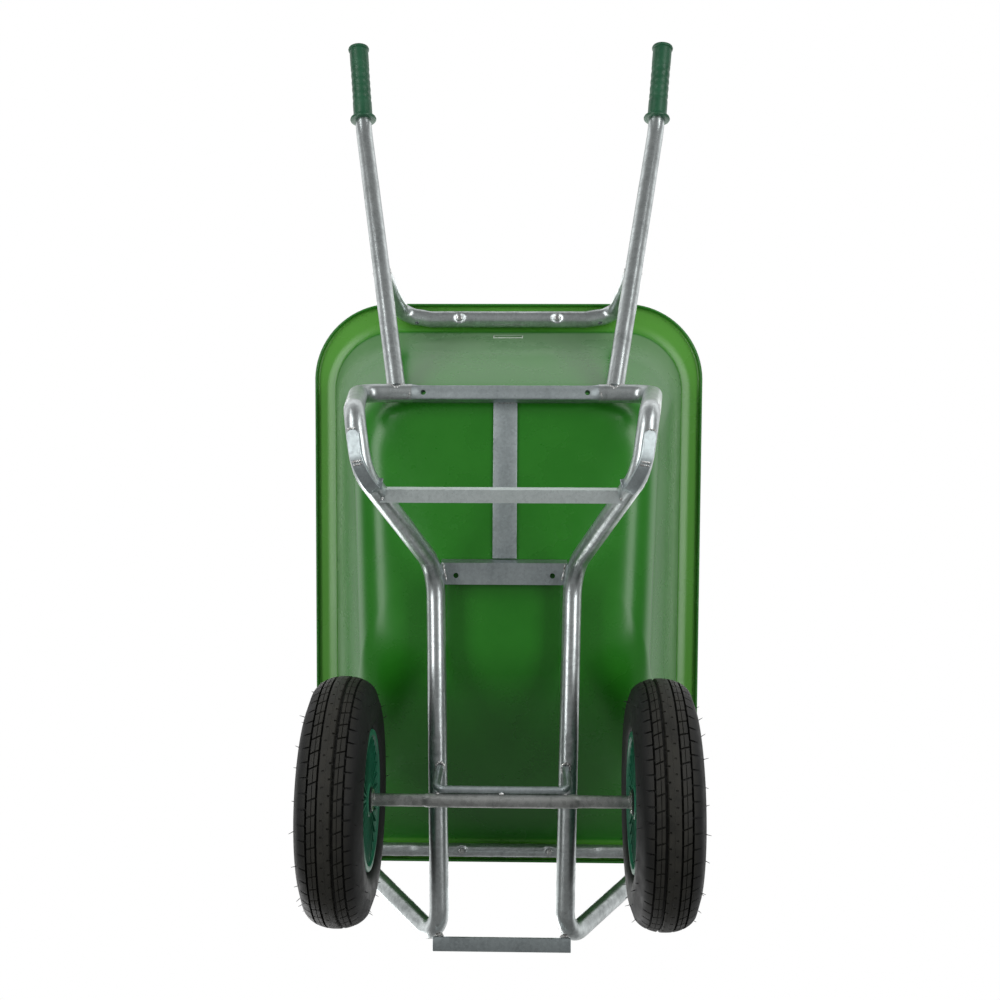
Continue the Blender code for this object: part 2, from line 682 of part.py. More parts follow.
def build_rim(side, centre, parent):
    """Plastic wheel centre: hub, rim ring and a web with pockets between radial ribs."""
    steps = 2 * RIM_RIBS
    web_half = 0.0030
    blank = lathe(side + "_rim", rim_profile(), steps, Vector((0.0, 0.0, 0.0)), "dark_green_rim")
    bpy.context.view_layer.update()
    depsgraph = bpy.context.evaluated_depsgraph_get()
    mesh = bpy.data.meshes.new_from_object(blank.evaluated_get(depsgraph))
    shape = bmesh.new()
    shape.from_mesh(mesh)
    bpy.data.meshes.remove(mesh)
    bpy.data.objects.remove(blank, do_unlink=True)
    bmesh.ops.recalc_face_normals(shape, faces=shape.faces)
    pockets = []
    for face in shape.faces:
        spot = face.calc_center_median()
        radius = math.hypot(spot.x, spot.y)
        on_rib_face = abs(abs(spot.z) - RIB_FACE) < 0.0005 and 0.030 < radius < 0.095
        sector = int((math.atan2(spot.y, spot.x) % (2.0 * math.pi)) / (2.0 * math.pi) * steps)
        if on_rib_face and sector % 2 == 0:
            pockets.append(face)
    pushed = bmesh.ops.extrude_discrete_faces(shape, faces=pockets)["faces"]
    for face in pushed:
        for vert in face.verts:
            vert.co.z = math.copysign(web_half, vert.co.z)
    rim = add_part(side + "_rim", mesh_from_bmesh(side + "_rim", shape), "dark_green_rim")
    rim.rotation_mode = "QUATERNION"
    rim.rotation_quaternion = Vector((1.0, 0.0, 0.0)).to_track_quat("Z", "Y")
    rim.location = centre
    rim.parent = parent
    rim.matrix_parent_inverse = parent.matrix_world.inverted()
    return rim


def build_wheel(side, sign):
    centre = at(sign * WHEEL_X, 0.0, AXLE_Z)
    pivot = bpy.data.objects.new(side + "_wheel_axis", None)
    PARTS.objects.link(pivot)
    pivot.location = centre
    bpy.context.view_layer.update()
    build_tyre(side, centre, pivot)
    build_inner_tube(side, centre, pivot)
    rim = build_rim(side, centre, pivot)

    bush_inner = AXLE_RADIUS + GAP
    bush_outer = 0.0164
    bush_depth = 0.030
    for end, direction in (("inner", -sign), ("outer", sign)):
        outward = Vector((direction, 0.0, 0.0))
        face = centre + outward * (HUB_HALF + GAP)
        profile = [(BUSH_FLANGE, bush_inner), (BUSH_FLANGE, 0.0205), (0.0, 0.0205),
                   (0.0, bush_outer), (-bush_depth, bush_outer), (-bush_depth, bush_inner),
                   (BUSH_FLANGE, bush_inner)]
        lathe(side + "_" + end + "_bush", profile, 16, face, "black_nylon", axis=outward,
              parent=pivot)
        lathe(side + "_" + end + "_washer", ring_profile(0.0, WASHER_THICKNESS, bush_inner, 0.0180),
              16, face + outward * (BUSH_FLANGE + GAP), "zinc_plated_steel", axis=outward)

    pocket_angle = math.radians(90.0 + 90.0 / RIM_RIBS)
    turn = Vector((1.0, 0.0, 0.0)).to_track_quat("Z", "Y")
    inward = -(turn @ Vector((math.cos(pocket_angle), math.sin(pocket_angle), 0.0)))
    stem_root = centre + Vector((sign * 0.018, 0.0, 0.0)) - inward * 0.1080
    hole = rod_mesh(side + "_valve_hole", stem_root, stem_root + inward * 0.014, 0.0046, 12)
    cutter = add_cutter(side + "_valve_hole", hole)
    cut(rim, cutter)
    stem = [(0.0240, 0.0026), (0.0070, 0.0026), (0.0070, 0.0040), (-0.0002, 0.0040)]
    lathe(side + "_valve_stem", stem, 12, stem_root, "black_nylon", axis=inward, parent=pivot)
    cap = [(0.0270, 0.0036), (0.0145, 0.0036), (0.0145, 0.0030), (0.0243, 0.0030)]
    lathe(side + "_valve_cap", cap, 12, stem_root, "black_nylon", axis=inward, parent=pivot)


def build_split_pins():
    for name, x in pin_places():
        low = at(x, 0.0, AXLE_Z - 0.0145)
        high = at(x, 0.0, AXLE_Z + 0.0145)
        add_part(name, rod_mesh(name, low, high, 0.0016, 8), "zinc_plated_steel")


def build_all():
    build_tray()
    build_label_plate()
    build_frame_tubes()
    build_handles()
    hoop = build_rim_hoop()
    front_tube = build_front_tube()
    build_rear_cross_bar()
    build_flat_bars()
    build_skids()
    build_axle()
    build_axle_bracket()
    build_grips()
    build_fasteners(hoop, front_tube)
    for side, sign in SIDES.items():
        build_wheel(side, sign)
    build_split_pins()


build_all()
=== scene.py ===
"""Looks of the twin-wheel wheelbarrow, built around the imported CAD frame.

Metres, +Z up, nose towards -Y.  Stations are measured from the axle and heights from the ground,
as in the CAD; at() turns them into the frame.
"""
import math
import random

import bmesh
import bpy
from mathutils import Matrix, Quaternion, Vector, noise


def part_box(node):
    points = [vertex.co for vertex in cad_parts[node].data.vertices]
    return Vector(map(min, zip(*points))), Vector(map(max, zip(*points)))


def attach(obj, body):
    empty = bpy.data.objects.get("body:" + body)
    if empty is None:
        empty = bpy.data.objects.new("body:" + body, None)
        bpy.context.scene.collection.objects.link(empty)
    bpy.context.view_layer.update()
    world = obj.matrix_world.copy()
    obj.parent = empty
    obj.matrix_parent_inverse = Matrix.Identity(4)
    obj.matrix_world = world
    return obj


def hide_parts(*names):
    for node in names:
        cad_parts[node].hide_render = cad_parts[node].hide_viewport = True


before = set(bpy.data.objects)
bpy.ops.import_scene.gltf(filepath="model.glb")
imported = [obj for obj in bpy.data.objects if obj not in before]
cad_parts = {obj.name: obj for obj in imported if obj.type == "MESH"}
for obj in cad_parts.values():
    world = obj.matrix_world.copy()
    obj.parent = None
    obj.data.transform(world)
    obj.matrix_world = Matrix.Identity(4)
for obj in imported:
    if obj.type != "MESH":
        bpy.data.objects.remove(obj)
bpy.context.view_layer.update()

# ---------------------------------------------------------------- driving dimensions
AXLE_LOW, AXLE_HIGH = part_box("axle")
AXLE_Y = (AXLE_LOW.y + AXLE_HIGH.y) / 2.0
AXLE_Z = (AXLE_LOW.z + AXLE_HIGH.z) / 2.0
# clearance between pieces that rest on each other
GAP = 0.0003
WHEEL_X = 0.2525
WHEEL_RADIUS = 0.195
TUBE_RADIUS = 0.016
FRONT_TUBE_RADIUS = 0.0125
TRAY_THICKNESS = 0.004
TRAY_FLOOR_Z = 0.336
TRAY_FLANGE_Z = 0.6163
RAIL_Z = 0.300
# rear cross bar between the side tubes
CROSS_Y = 0.676
CROSS_Z = TRAY_FLOOR_Z - GAP - TUBE_RADIUS
CROSS_END_X = 0.168
# tubes under the rim, behind and in front
HOOP_Y = 0.871
HOOP_Z = TRAY_FLANGE_Z - GAP - TUBE_RADIUS
FRONT_TUBE_Y = -0.158
FRONT_TUBE_Z = TRAY_FLANGE_Z - GAP - FRONT_TUBE_RADIUS
# middle line of the side tubes at the feet
SKID_THICKNESS = 0.004
FOOT_Z = SKID_THICKNESS + 2 * GAP + TUBE_RADIUS
SIDES = {"left": 1.0, "right": -1.0}
SIDEWAYS = Vector((1.0, 0.0, 0.0))
ALONG = Vector((0.0, 1.0, 0.0))
UP = Vector((0.0, 0.0, 1.0))
DOWN = -UP
# degrees between faces whose edge is kept crisp
SHARP_ANGLE = 35.0
# focal length as a share of the picture's width
FOCAL_SHARE = 1.234


def at(x, y, z):
    """Point of the frame from its side offset, its station behind the axle and its height."""
    return Vector((x, AXLE_Y + y, z))


def smooth_step(low, high, value):
    """0 below a low value, 1 above a high one, and a smooth rise between."""
    share = min(max((value - low) / (high - low), 0.0), 1.0)
    return share * share * (3.0 - 2.0 * share)


# ---------------------------------------------------------------- materials
class Look:
    """A node material under construction."""

    def __init__(self, name):
        self.material = bpy.data.materials.new(name)
        self.material.use_nodes = True
        self.tree = self.material.node_tree
        self.shader = self.tree.nodes["Principled BSDF"]
        self.place = self.tree.nodes.new("ShaderNodeTexCoord").outputs["Object"]

    def node(self, kind, settings=None, **inputs):
        made = self.tree.nodes.new("ShaderNode" + kind)
        for key, value in (settings or {}).items():
            setattr(made, key, value)
        for key, value in inputs.items():
            self.feed(made.inputs[key.replace("_", " ")], value)
        return made

    def feed(self, socket, value):
        if isinstance(value, bpy.types.NodeSocket):
            self.tree.links.new(value, socket)
        else:
            socket.default_value = value

    def noise(self, scale, detail=4.0, rough=0.55, vector=None, distortion=0.0):
        made = self.node("TexNoise", Scale=scale, Detail=detail, Roughness=rough,
                         Distortion=distortion, Vector=vector or self.place)
        return made.outputs["Fac"]

    def stretched(self, scale):
        return self.node("Mapping", Vector=self.place, Scale=scale).outputs["Vector"]

    def ramp(self, value, *stops):
        """Colour ramp; each stop is (position, grey level or colour)."""
        made = self.node("ValToRGB", Fac=value)
        elements = made.color_ramp.elements
        while len(elements) < len(stops):
            elements.new(0.5)
        for element, (position, colour) in zip(elements, stops):
            if not isinstance(colour, tuple):
                colour = (colour, colour, colour)
            element.position = position
            element.color = (*colour, 1.0)
        return made.outputs["Color"]

    def spread(self, value, low, high, new_low, new_high):
        made = self.node("MapRange", Value=value, From_Min=low, From_Max=high, To_Min=new_low,
                         To_Max=new_high)
        return made.outputs["Result"]

    def maths(self, operation, first, second=0.0):
        made = self.node("Math", {"operation": operation})
        self.feed(made.inputs[0], first)
        self.feed(made.inputs[1], second)
        return made.outputs[0]

    def mix(self, share, first, second, blend="MIX"):
        made = self.node("Mix", {"data_type": "RGBA", "blend_type": blend})
        self.feed(made.inputs["Factor"], share)
        for socket, value in ((made.inputs["A"], first), (made.inputs["B"], second)):
            target = [s for s in made.inputs if s.name == socket.name and s.type == "RGBA"][0]
            self.feed(target, (*value, 1.0) if isinstance(value, tuple) else value)
        return [s for s in made.outputs if s.type == "RGBA"][0]

    def bump(self, height, strength, distance, normal=None):
        made = self.node("Bump", Height=height, Strength=strength, Distance=distance)
        if normal is not None:
            self.feed(made.inputs["Normal"], normal)
        return made.outputs["Normal"]

    def set(self, **inputs):
        for key, value in inputs.items():
            if isinstance(value, tuple) and len(value) == 3:
                value = (*value, 1.0)
            self.feed(self.shader.inputs[key.replace("_", " ")], value)
        return self


def galvanised(name, dark=(0.36, 0.39, 0.39), light=(0.70, 0.75, 0.75), grain=1.0,
               rough=(0.25, 0.40)):
    """Hot-dip galvanised steel: broad tone drift, small spangle, dull patches and pin holes."""
    look = Look(name)
    drift = look.noise(22.0, 6.0, 0.62)
    cells = look.node("TexVoronoi", {"feature": "F1"}, Scale=190.0 * grain, Randomness=1.0,
                      Vector=look.place)
    spangle = look.node("SeparateColor", Color=cells.outputs["Color"]).outputs["Red"]
    fine = look.noise(760.0 * grain, 3.0, 0.6)
    streaks = look.noise(60.0, 5.0, 0.6, look.stretched((1.0, 0.16, 1.0)))
    tone = look.maths("MULTIPLY", drift, 0.46)
    tone = look.maths("ADD", tone, look.maths("MULTIPLY", spangle, 0.10))
    tone = look.maths("ADD", tone, look.maths("MULTIPLY", streaks, 0.26))
    tone = look.maths("ADD", tone, look.maths("MULTIPLY", fine, 0.18))
    middle = tuple((a + b) / 2 for a, b in zip(dark, light))
    colour = look.ramp(tone, (0.36, dark), (0.50, middle), (0.66, light))
    specks = look.noise(420.0, 2.0, 0.5)
    colour = look.mix(look.ramp(specks, (0.70, 0.0), (0.76, 0.45)), colour, (0.20, 0.20, 0.19))
    look.set(Base_Color=colour, Metallic=0.92,
             Roughness=look.spread(tone, 0.34, 0.68, rough[1], rough[0]))
    lumps = look.bump(drift, 0.20, 0.0010)
    look.set(Normal=look.bump(look.maths("ADD", fine, spangle), 0.10, 0.00030, lumps))
    return look.material


def bright_zinc(name):
    look = Look(name)
    drift = look.noise(160.0, 5.0, 0.6)
    colour = look.ramp(drift, (0.35, (0.50, 0.51, 0.50)), (0.65, (0.82, 0.83, 0.80)))
    look.set(Base_Color=colour, Metallic=1.0, Roughness=look.spread(drift, 0.3, 0.7, 0.34, 0.20))
    look.set(Normal=look.bump(look.noise(900.0, 3.0), 0.2, 0.0003))
    return look.material


def weld_metal(name):
    """Weld run under the zinc: rippled, part bright and part burnt."""
    look = Look(name)
    blotch = look.noise(210.0, 5.0, 0.65)
    colour = look.ramp(blotch, (0.34, (0.13, 0.12, 0.11)), (0.47, (0.42, 0.42, 0.41)),
                       (0.62, (0.86, 0.87, 0.86)))
    look.set(Base_Color=colour, Metallic=0.88, Roughness=look.spread(blotch, 0.3, 0.7, 0.52, 0.20))
    look.set(Normal=look.bump(look.noise(620.0, 4.0, 0.6), 0.5, 0.0009))
    return look.material


def painted_reflection_band(look, split, cloud):
    """Share of painted reflection: a pale band on the outer face of the walls, just under the rim,
    standing in for light mirrored there.
    """
    facing_way = look.node("SeparateXYZ", Vector=look.node("NewGeometry").outputs["Normal"])
    tilt = facing_way.outputs["Z"]
    behind_nose = look.spread(facing_way.outputs["Y"], -0.60, -0.15, 0.0, 1.0)
    outer = look.maths("MULTIPLY", look.spread(tilt, -0.02, -0.12, 0.0, 1.0), behind_nose)
    wall = look.spread(tilt, -0.92, -0.70, 0.0, 1.0)
    height = split.outputs["Z"]
    low = look.spread(height, TRAY_FLOOR_Z + 0.150, TRAY_FLOOR_Z + 0.215, 0.0, 1.0)
    high = look.spread(height, TRAY_FLANGE_Z - 0.014, TRAY_FLANGE_Z - 0.005, 1.0, 0.0)
    share = look.maths("MULTIPLY", look.maths("MULTIPLY", low, high),
                       look.maths("MULTIPLY", outer, wall))
    return look.maths("MULTIPLY", share, look.spread(cloud, 0.3, 0.7, 0.45, 0.75))


def green_plastic(name):
    """Moulded polypropylene: faint cloudiness, orange-peel grain, scuffs and a little dust.

    The thin rim and lip are painted paler and yellower than the floor, a painted glow of light coming
    through them; a pale band under the rim is a painted reflection.
    """
    look = Look(name)
    cloud = look.noise(7.0, 5.0, 0.6)
    grain = look.noise(1300.0, 3.0, 0.5)
    peel = look.noise(120.0, 3.0, 0.5)
    colour = look.ramp(cloud, (0.30, (0.016, 0.176, 0.009)), (0.70, (0.023, 0.206, 0.013)))
    scuffs = look.noise(34.0, 7.0, 0.72, look.stretched((5.0, 0.8, 5.0)))
    scuff = look.ramp(scuffs, (0.68, 0.0), (0.76, 0.22))
    colour = look.mix(scuff, colour, (0.06, 0.25, 0.05))
    dust = look.ramp(look.noise(480.0, 2.0, 0.4), (0.74, 0.0), (0.80, 0.25))
    colour = look.mix(dust, colour, (0.12, 0.27, 0.10))
    split = look.node("SeparateXYZ", Vector=look.place)
    # pale green painted over that band is a painted reflection, not a change in the plastic
    colour = look.mix(painted_reflection_band(look, split, cloud), colour, (0.26, 0.40, 0.25))
    # painted glow: the rim and lip are painted paler and yellower, standing in for light coming through
    # the thin plastic
    rim = look.spread(split.outputs["Z"], TRAY_FLANGE_Z - 0.006, TRAY_FLANGE_Z - 0.001, 0.0, 0.85)
    colour = look.mix(rim, colour, (0.110, 0.370, 0.042))
    rough = look.maths("ADD", look.spread(cloud, 0.3, 0.7, 0.24, 0.30),
                       look.maths("MULTIPLY", scuff, 0.4))
    look.set(Base_Color=colour, Roughness=rough, Specular_IOR_Level=0.5)
    look.set(Normal=look.bump(grain, 0.08, 0.0002, look.bump(peel, 0.05, 0.0006)))
    return look.material


def moulded(name, low, high, rough_low, rough_high, grain=0.15):
    """Plain moulded plastic or soft PVC in one colour, drifting between two tones."""
    look = Look(name)
    drift = look.noise(45.0, 5.0, 0.6)
    fine = look.noise(1500.0, 3.0, 0.5)
    look.set(Base_Color=look.ramp(drift, (0.32, low), (0.68, high)),
             Roughness=look.spread(drift, 0.3, 0.7, rough_low, rough_high))
    look.set(Normal=look.bump(fine, grain, 0.0004))
    return look.material


def tyre_rubber(name):
    """Black rubber whose running surface is dusty and paler than its grooves and walls."""
    look = Look(name)
    split = look.node("SeparateXYZ", Vector=look.place)
    dy = look.maths("SUBTRACT", split.outputs["Y"], AXLE_Y)
    dz = look.maths("SUBTRACT", split.outputs["Z"], AXLE_Z)
    squares = look.maths("ADD", look.maths("MULTIPLY", dy, dy), look.maths("MULTIPLY", dz, dz))
    radius = look.maths("SQRT", squares)
    worn = look.spread(radius, WHEEL_RADIUS - 0.0115, WHEEL_RADIUS - 0.0010, 0.0, 1.0)
    drift = look.noise(38.0, 6.0, 0.65)
    dust = look.maths("MULTIPLY", worn, look.spread(drift, 0.30, 0.62, 0.45, 1.0))
    wall = look.ramp(drift, (0.35, (0.0055, 0.006, 0.006)), (0.65, (0.0105, 0.011, 0.0105)))
    colour = look.mix(dust, wall, (0.030, 0.029, 0.024))
    look.set(Base_Color=colour, Roughness=look.spread(drift, 0.3, 0.7, 0.50, 0.70),
             Specular_IOR_Level=0.25)
    look.set(Normal=look.bump(look.noise(900.0, 4.0, 0.6), 0.35, 0.0005))
    return look.material


def label_film(name):
    look = Look(name)
    smudge = look.noise(380.0, 4.0, 0.6)
    look.set(Base_Color=look.ramp(smudge, (0.35, (0.45, 0.52, 0.44)), (0.60, (0.80, 0.83, 0.79))),
             Roughness=0.42)
    look.set(Normal=look.bump(smudge, 0.1, 0.0002))
    return look.material


TUBE_METAL = galvanised("galvanised_tube")
FLAT_METAL = galvanised("galvanised_flat", (0.31, 0.35, 0.36), (0.56, 0.63, 0.64), 1.2, (0.36, 0.52))
BRACE_METAL = galvanised("galvanised_brace", (0.52, 0.58, 0.57), (0.84, 0.92, 0.91), 1.2, (0.40, 0.55))
AXLE_METAL = galvanised("galvanised_axle", (0.26, 0.27, 0.26), (0.62, 0.64, 0.62), 0.8, (0.30, 0.50))
ZINC = bright_zinc("bright_zinc")
WELD = weld_metal("weld_metal")
GREEN = green_plastic("green_plastic")
GRIP = moulded("dark_green_grip", (0.012, 0.085, 0.038), (0.018, 0.112, 0.052), 0.34, 0.50, 0.25)
RIM_GREEN = moulded("dark_green_rim", (0.008, 0.120, 0.062), (0.012, 0.160, 0.084), 0.42, 0.55)
NYLON = moulded("black_nylon", (0.008, 0.008, 0.009), (0.018, 0.018, 0.019), 0.35, 0.55)
RUBBER = tyre_rubber("tyre_rubber")
LABEL = label_film("label_film")
LABEL_FIELD = moulded("label_field", (0.09, 0.20, 0.08), (0.16, 0.30, 0.15), 0.35, 0.45)


# ---------------------------------------------------------------- pieces
def new_object(name, data):
    made = bpy.data.objects.new(name, data)
    bpy.context.scene.collection.objects.link(made)
    return made


def as_object(name, shape):
    """Makes an object of a bmesh, which is freed."""
    mesh = bpy.data.meshes.new(name)
    shape.to_mesh(mesh)
    shape.free()
    return new_object(name, mesh)


def smooth(mesh, sharp):
    """Smooth shading, but for edges sharper than an angle in degrees."""
    mesh.shade_smooth()
    mesh.set_sharp_from_angle(angle=math.radians(sharp))


def facing(place, direction):
    """Matrix that stands a shape at a place with its Z along a direction."""
    return Matrix.Translation(place) @ direction.to_track_quat("Z", "Y").to_matrix().to_4x4()


def skinned(rings, loop=False, ends=True):
    """Bmesh with faces between neighbouring rings of points and over the ends of an open row."""
    shape = bmesh.new()
    rings = [[shape.verts.new(place) for place in ring] for ring in rings]
    following = rings[1:] + rings[:1] if loop else rings[1:]
    for lower, upper in zip(rings, following):
        for k in range(len(lower)):
            n = (k + 1) % len(lower)
            shape.faces.new((lower[k], lower[n], upper[n], upper[k]))
    if ends and not loop:
        shape.faces.new(rings[0][::-1])
        shape.faces.new(rings[-1])
    return shape


def piece(name, shape, material, body="frame", stands_for=(), sharp=SHARP_ANGLE, relax=True):
    """Turns a bmesh into a shown piece that rides on a body."""
    if relax:
        bmesh.ops.recalc_face_normals(shape, faces=shape.faces)
    made = as_object(name, shape)
    smooth(made.data, sharp)
    made.data.materials.append(material)
    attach(made, body)
    if stands_for:
        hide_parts(*stands_for)
    return made


def drill(target, places, radius, half_depth, direction=UP):
    """Real holes in a piece: one cylinder a place, taken out at once and then removed."""
    shape = bmesh.new()
    for place in places:
        bmesh.ops.create_cone(shape, cap_ends=True, segments=24, radius1=radius, radius2=radius,
                              depth=2.0 * half_depth, matrix=facing(place, direction))
    bmesh.ops.recalc_face_normals(shape, faces=shape.faces)
    cutter = as_object(target.name + "_cutter", shape)
    modifier = target.modifiers.new("holes", "BOOLEAN")
    modifier.operation = "DIFFERENCE"
    modifier.solver = "EXACT"
    modifier.object = cutter
    depsgraph = bpy.context.evaluated_depsgraph_get()
    cut = bpy.data.meshes.new_from_object(target.evaluated_get(depsgraph))
    target.modifiers.clear()
    old = target.data
    target.data = cut
    bpy.data.meshes.remove(old)
    bpy.data.objects.remove(cutter, do_unlink=True)
    smooth(cut, SHARP_ANGLE)


# ---------------------------------------------------------------- tubes
def rounded_path(corners, radii, steps=14):
    """Polyline through the corners, each inner corner turned into an arc of its radius."""
    path = [corners[0]]
    for before, corner, after, radius in zip(corners, corners[1:], corners[2:], radii):
        to_before = (before - corner).normalized()
        to_after = (after - corner).normalized()
        half_angle = to_before.angle(to_after) / 2.0
        centre = corner + (to_before + to_after).normalized() * (radius / math.sin(half_angle))
        start = corner + to_before * (radius / math.tan(half_angle)) - centre
        end = corner + to_after * (radius / math.tan(half_angle)) - centre
        sweep = start.angle(end)
        for step in range(steps + 1):
            share = step / steps
            first = math.sin((1.0 - share) * sweep) / math.sin(sweep)
            second = math.sin(share * sweep) / math.sin(sweep)
            path.append(centre + start * first + end * second)
    path.append(corners[-1])
    return path


def even_path(path, spacing):
    """The same polyline with points at most a spacing apart."""
    made = [path[0]]
    for start, end in zip(path, path[1:]):
        count = max(1, math.ceil((end - start).length / spacing))
        made += [start.lerp(end, (i + 1) / count) for i in range(count)]
    return made


def path_frames(path, hint):
    """Side and top direction at each point of a path, carried along without twist."""
    tangents = []
    for i in range(len(path)):
        before, after = path[max(i - 1, 0)], path[min(i + 1, len(path) - 1)]
        tangents.append((after - before).normalized())
    top = (hint - tangents[0] * hint.dot(tangents[0])).normalized()
    frames = []
    for i, tangent in enumerate(tangents):
        if i:
            top = tangents[i - 1].rotation_difference(tangent) @ top
            top = (top - tangent * top.dot(tangent)).normalized()
        frames.append((tangent.cross(top), top))
    return frames


def sweep(path, section, hint=DOWN, segments=40):
    """Skin along a path.  section(distance, angle) gives the radius; angle 0 is the top hint."""
    rings = []
    distance = 0.0
    for i, (place, (side, top)) in enumerate(zip(path, path_frames(path, hint))):
        if i:
            distance += (place - path[i - 1]).length
        ring = []
        for k in range(segments):
            angle = math.tau * k / segments
            spoke = top * math.cos(angle) + side * math.sin(angle)
            ring.append(place + spoke * section(distance, angle))
        rings.append(ring)
    return skinned(rings)


def dent(shape, centre, direction, radius, depth):
    """Pushes the skin in around a point, as a bolt drawn tight does to a thin tube."""
    for vert in shape.verts:
        offset = vert.co - centre
        if offset.length > 2.2 * radius or offset.dot(direction) > 0.5 * TUBE_RADIUS:
            continue
        across = offset - direction * offset.dot(direction)
        share = 1.0 - smooth_step(0.35, 1.0, across.length / radius)
        vert.co += direction * depth * share


def roughen(shape, size, amount, seed=0.0):
    """Slight unevenness of the skin along its normals."""
    shape.normal_update()
    shift = Vector((seed, seed * 1.7, -seed))
    for vert in shape.verts:
        vert.co += vert.normal * amount * noise.noise(vert.co / size + shift)


def mirrored(path, sign):
    """The same places on the left side, for sign 1, or on the right side, for sign -1."""
    return [Vector((sign * place.x, place.y, place.z)) for place in path]


def both(x, y, z):
    """A place on the left and the same one on the right."""
    return [at(x, y, z), at(-x, y, z)]


# side offsets of the tray bolts
BOLT_X = {"rear": 0.096, "front": 0.083}

# middle lines of the left tubes, as corners and the radii they are bent to
FRAME_CORNERS = [
    at(CROSS_END_X - 0.006, CROSS_Y, CROSS_Z),
    at(0.2560, CROSS_Y, CROSS_Z),
    at(0.2205, 0.5985, FOOT_Z),
    at(0.2075, 0.5080, FOOT_Z),
    at(0.1165, 0.3720, RAIL_Z),
    at(0.1035, -0.2460, RAIL_Z),
    at(0.2960, FRONT_TUBE_Y - 0.003, FRONT_TUBE_Z - 0.012),
]
FRAME_RADII = [0.034, 0.045, 0.055, 0.080, 0.040]
FRAME_PATH = rounded_path(FRAME_CORNERS, FRAME_RADII)

HANDLE_START = at(0.1883, CROSS_Y, CROSS_Z)
HANDLE_BEND = at(0.2925, 1.2550, 0.6080)
HANDLE_END = at(0.3090, 1.4345, 0.6290)
HANDLE_PATH = rounded_path([HANDLE_START, HANDLE_BEND, HANDLE_END], [0.120])
GRIP_AXIS = (HANDLE_END - HANDLE_BEND).normalized()

HOOP_CORNERS = [
    at(0.1650, HOOP_Y, HOOP_Z),
    at(0.2105, 0.8822, HOOP_Z),
    at(0.2331, 0.9250, 0.4437),
]


def plain_tube(radius):
    """Section of a round tube, for sweep()."""
    return lambda distance, angle: radius


def build_frame_tubes():
    """Bent side tubes, each dented in three places behind the top of the axle bracket."""
    for side, sign in SIDES.items():
        path = even_path(mirrored(FRAME_PATH, sign), 0.0045)
        shape = sweep(path, plain_tube(TUBE_RADIUS))
        for y, depth in ((0.058, 0.0016), (0.073, 0.0011), (0.088, 0.0014)):
            underside = at(sign * 0.1125, y, RAIL_Z - TUBE_RADIUS)
            dent(shape, underside, UP, 0.0085, depth)
        roughen(shape, 0.030, 0.00022, 3.0 + sign)
        made = piece(side + "_frame_tube_skin", shape, TUBE_METAL, stands_for=[side + "_frame_tube"])
        drain = at(sign * 0.2640, 0.6720, 0.2850)
        drill(made, [drain], 0.0046, 0.012, Vector((sign * 0.80, 0.20, -0.60)).normalized())


def build_handles():
    """Straight tubes from the rear cross bar, with one soft bend before the grips."""
    for side, sign in SIDES.items():
        path = mirrored(HANDLE_PATH, sign)
        along = (path[1] - path[0]).normalized()
        path[0] = path[0] + along * (0.6 * TUBE_RADIUS)
        shape = sweep(even_path(path, 0.008), plain_tube(TUBE_RADIUS))
        roughen(shape, 0.035, 0.00018, 7.0 + sign)
        piece(side + "_handle_tube_skin", shape, TUBE_METAL, stands_for=[side + "_handle_tube"])


def build_rim_hoop():
    """Tube under the rear rim, drawn in round its two bolts, with a drain below each bend."""
    half = rounded_path(HOOP_CORNERS, [0.034])
    left = [half[0] - Vector((0.012, 0.0, 0.0)), half[0] + Vector((0.006, 0.003, 0.0))] + half[1:]
    path = even_path(mirrored(left[::-1], -1.0) + left, 0.004)
    shape = sweep(path, plain_tube(TUBE_RADIUS), segments=56)
    bolts = both(BOLT_X["rear"], HOOP_Y, HOOP_Z - TUBE_RADIUS)
    for bottom in bolts:
        dent(shape, bottom, UP, 0.0125, 0.0034)
    roughen(shape, 0.022, 0.00030, 1.0)
    made = piece("rear_rim_hoop_skin", shape, TUBE_METAL, stands_for=["rear_rim_hoop"])
    drill(made, bolts, 0.0050, 0.011)
    drain_way = Vector((0.0, -0.80, -0.60))
    middles = both(0.1800, HOOP_Y + 0.003, HOOP_Z)
    drill(made, [place + drain_way * TUBE_RADIUS for place in middles], 0.0042, 0.008, drain_way)


def build_front_tube():
    """Tube under the front rim, drawn in round its two bolts and flattened past them."""
    half = 0.312
    path = even_path([at(-half, FRONT_TUBE_Y, FRONT_TUBE_Z), at(half, FRONT_TUBE_Y, FRONT_TUBE_Z)],
                     0.003)

    def section(distance, angle):
        squeeze = smooth_step(0.155, 0.185, abs(distance - half)) * 0.0020
        return FRONT_TUBE_RADIUS - squeeze * max(math.cos(angle), 0.0) ** 2

    shape = sweep(path, section, segments=48)
    bolts = both(BOLT_X["front"], FRONT_TUBE_Y, FRONT_TUBE_Z - FRONT_TUBE_RADIUS)
    for bottom in bolts:
        dent(shape, bottom, UP, 0.0120, 0.0036)
    roughen(shape, 0.018, 0.00060, 5.0)
    made = piece("front_cross_tube_skin", shape, TUBE_METAL, stands_for=["front_cross_tube"])
    drill(made, bolts, 0.0048, 0.009)


def rectangle_radius(angle, half_width, half_height):
    """Radius of a rounded rectangle at an angle, as a superellipse."""
    power = 7.0
    c, s = abs(math.cos(angle)) / half_height, abs(math.sin(angle)) / half_width
    return (c ** power + s ** power) ** (-1.0 / power)


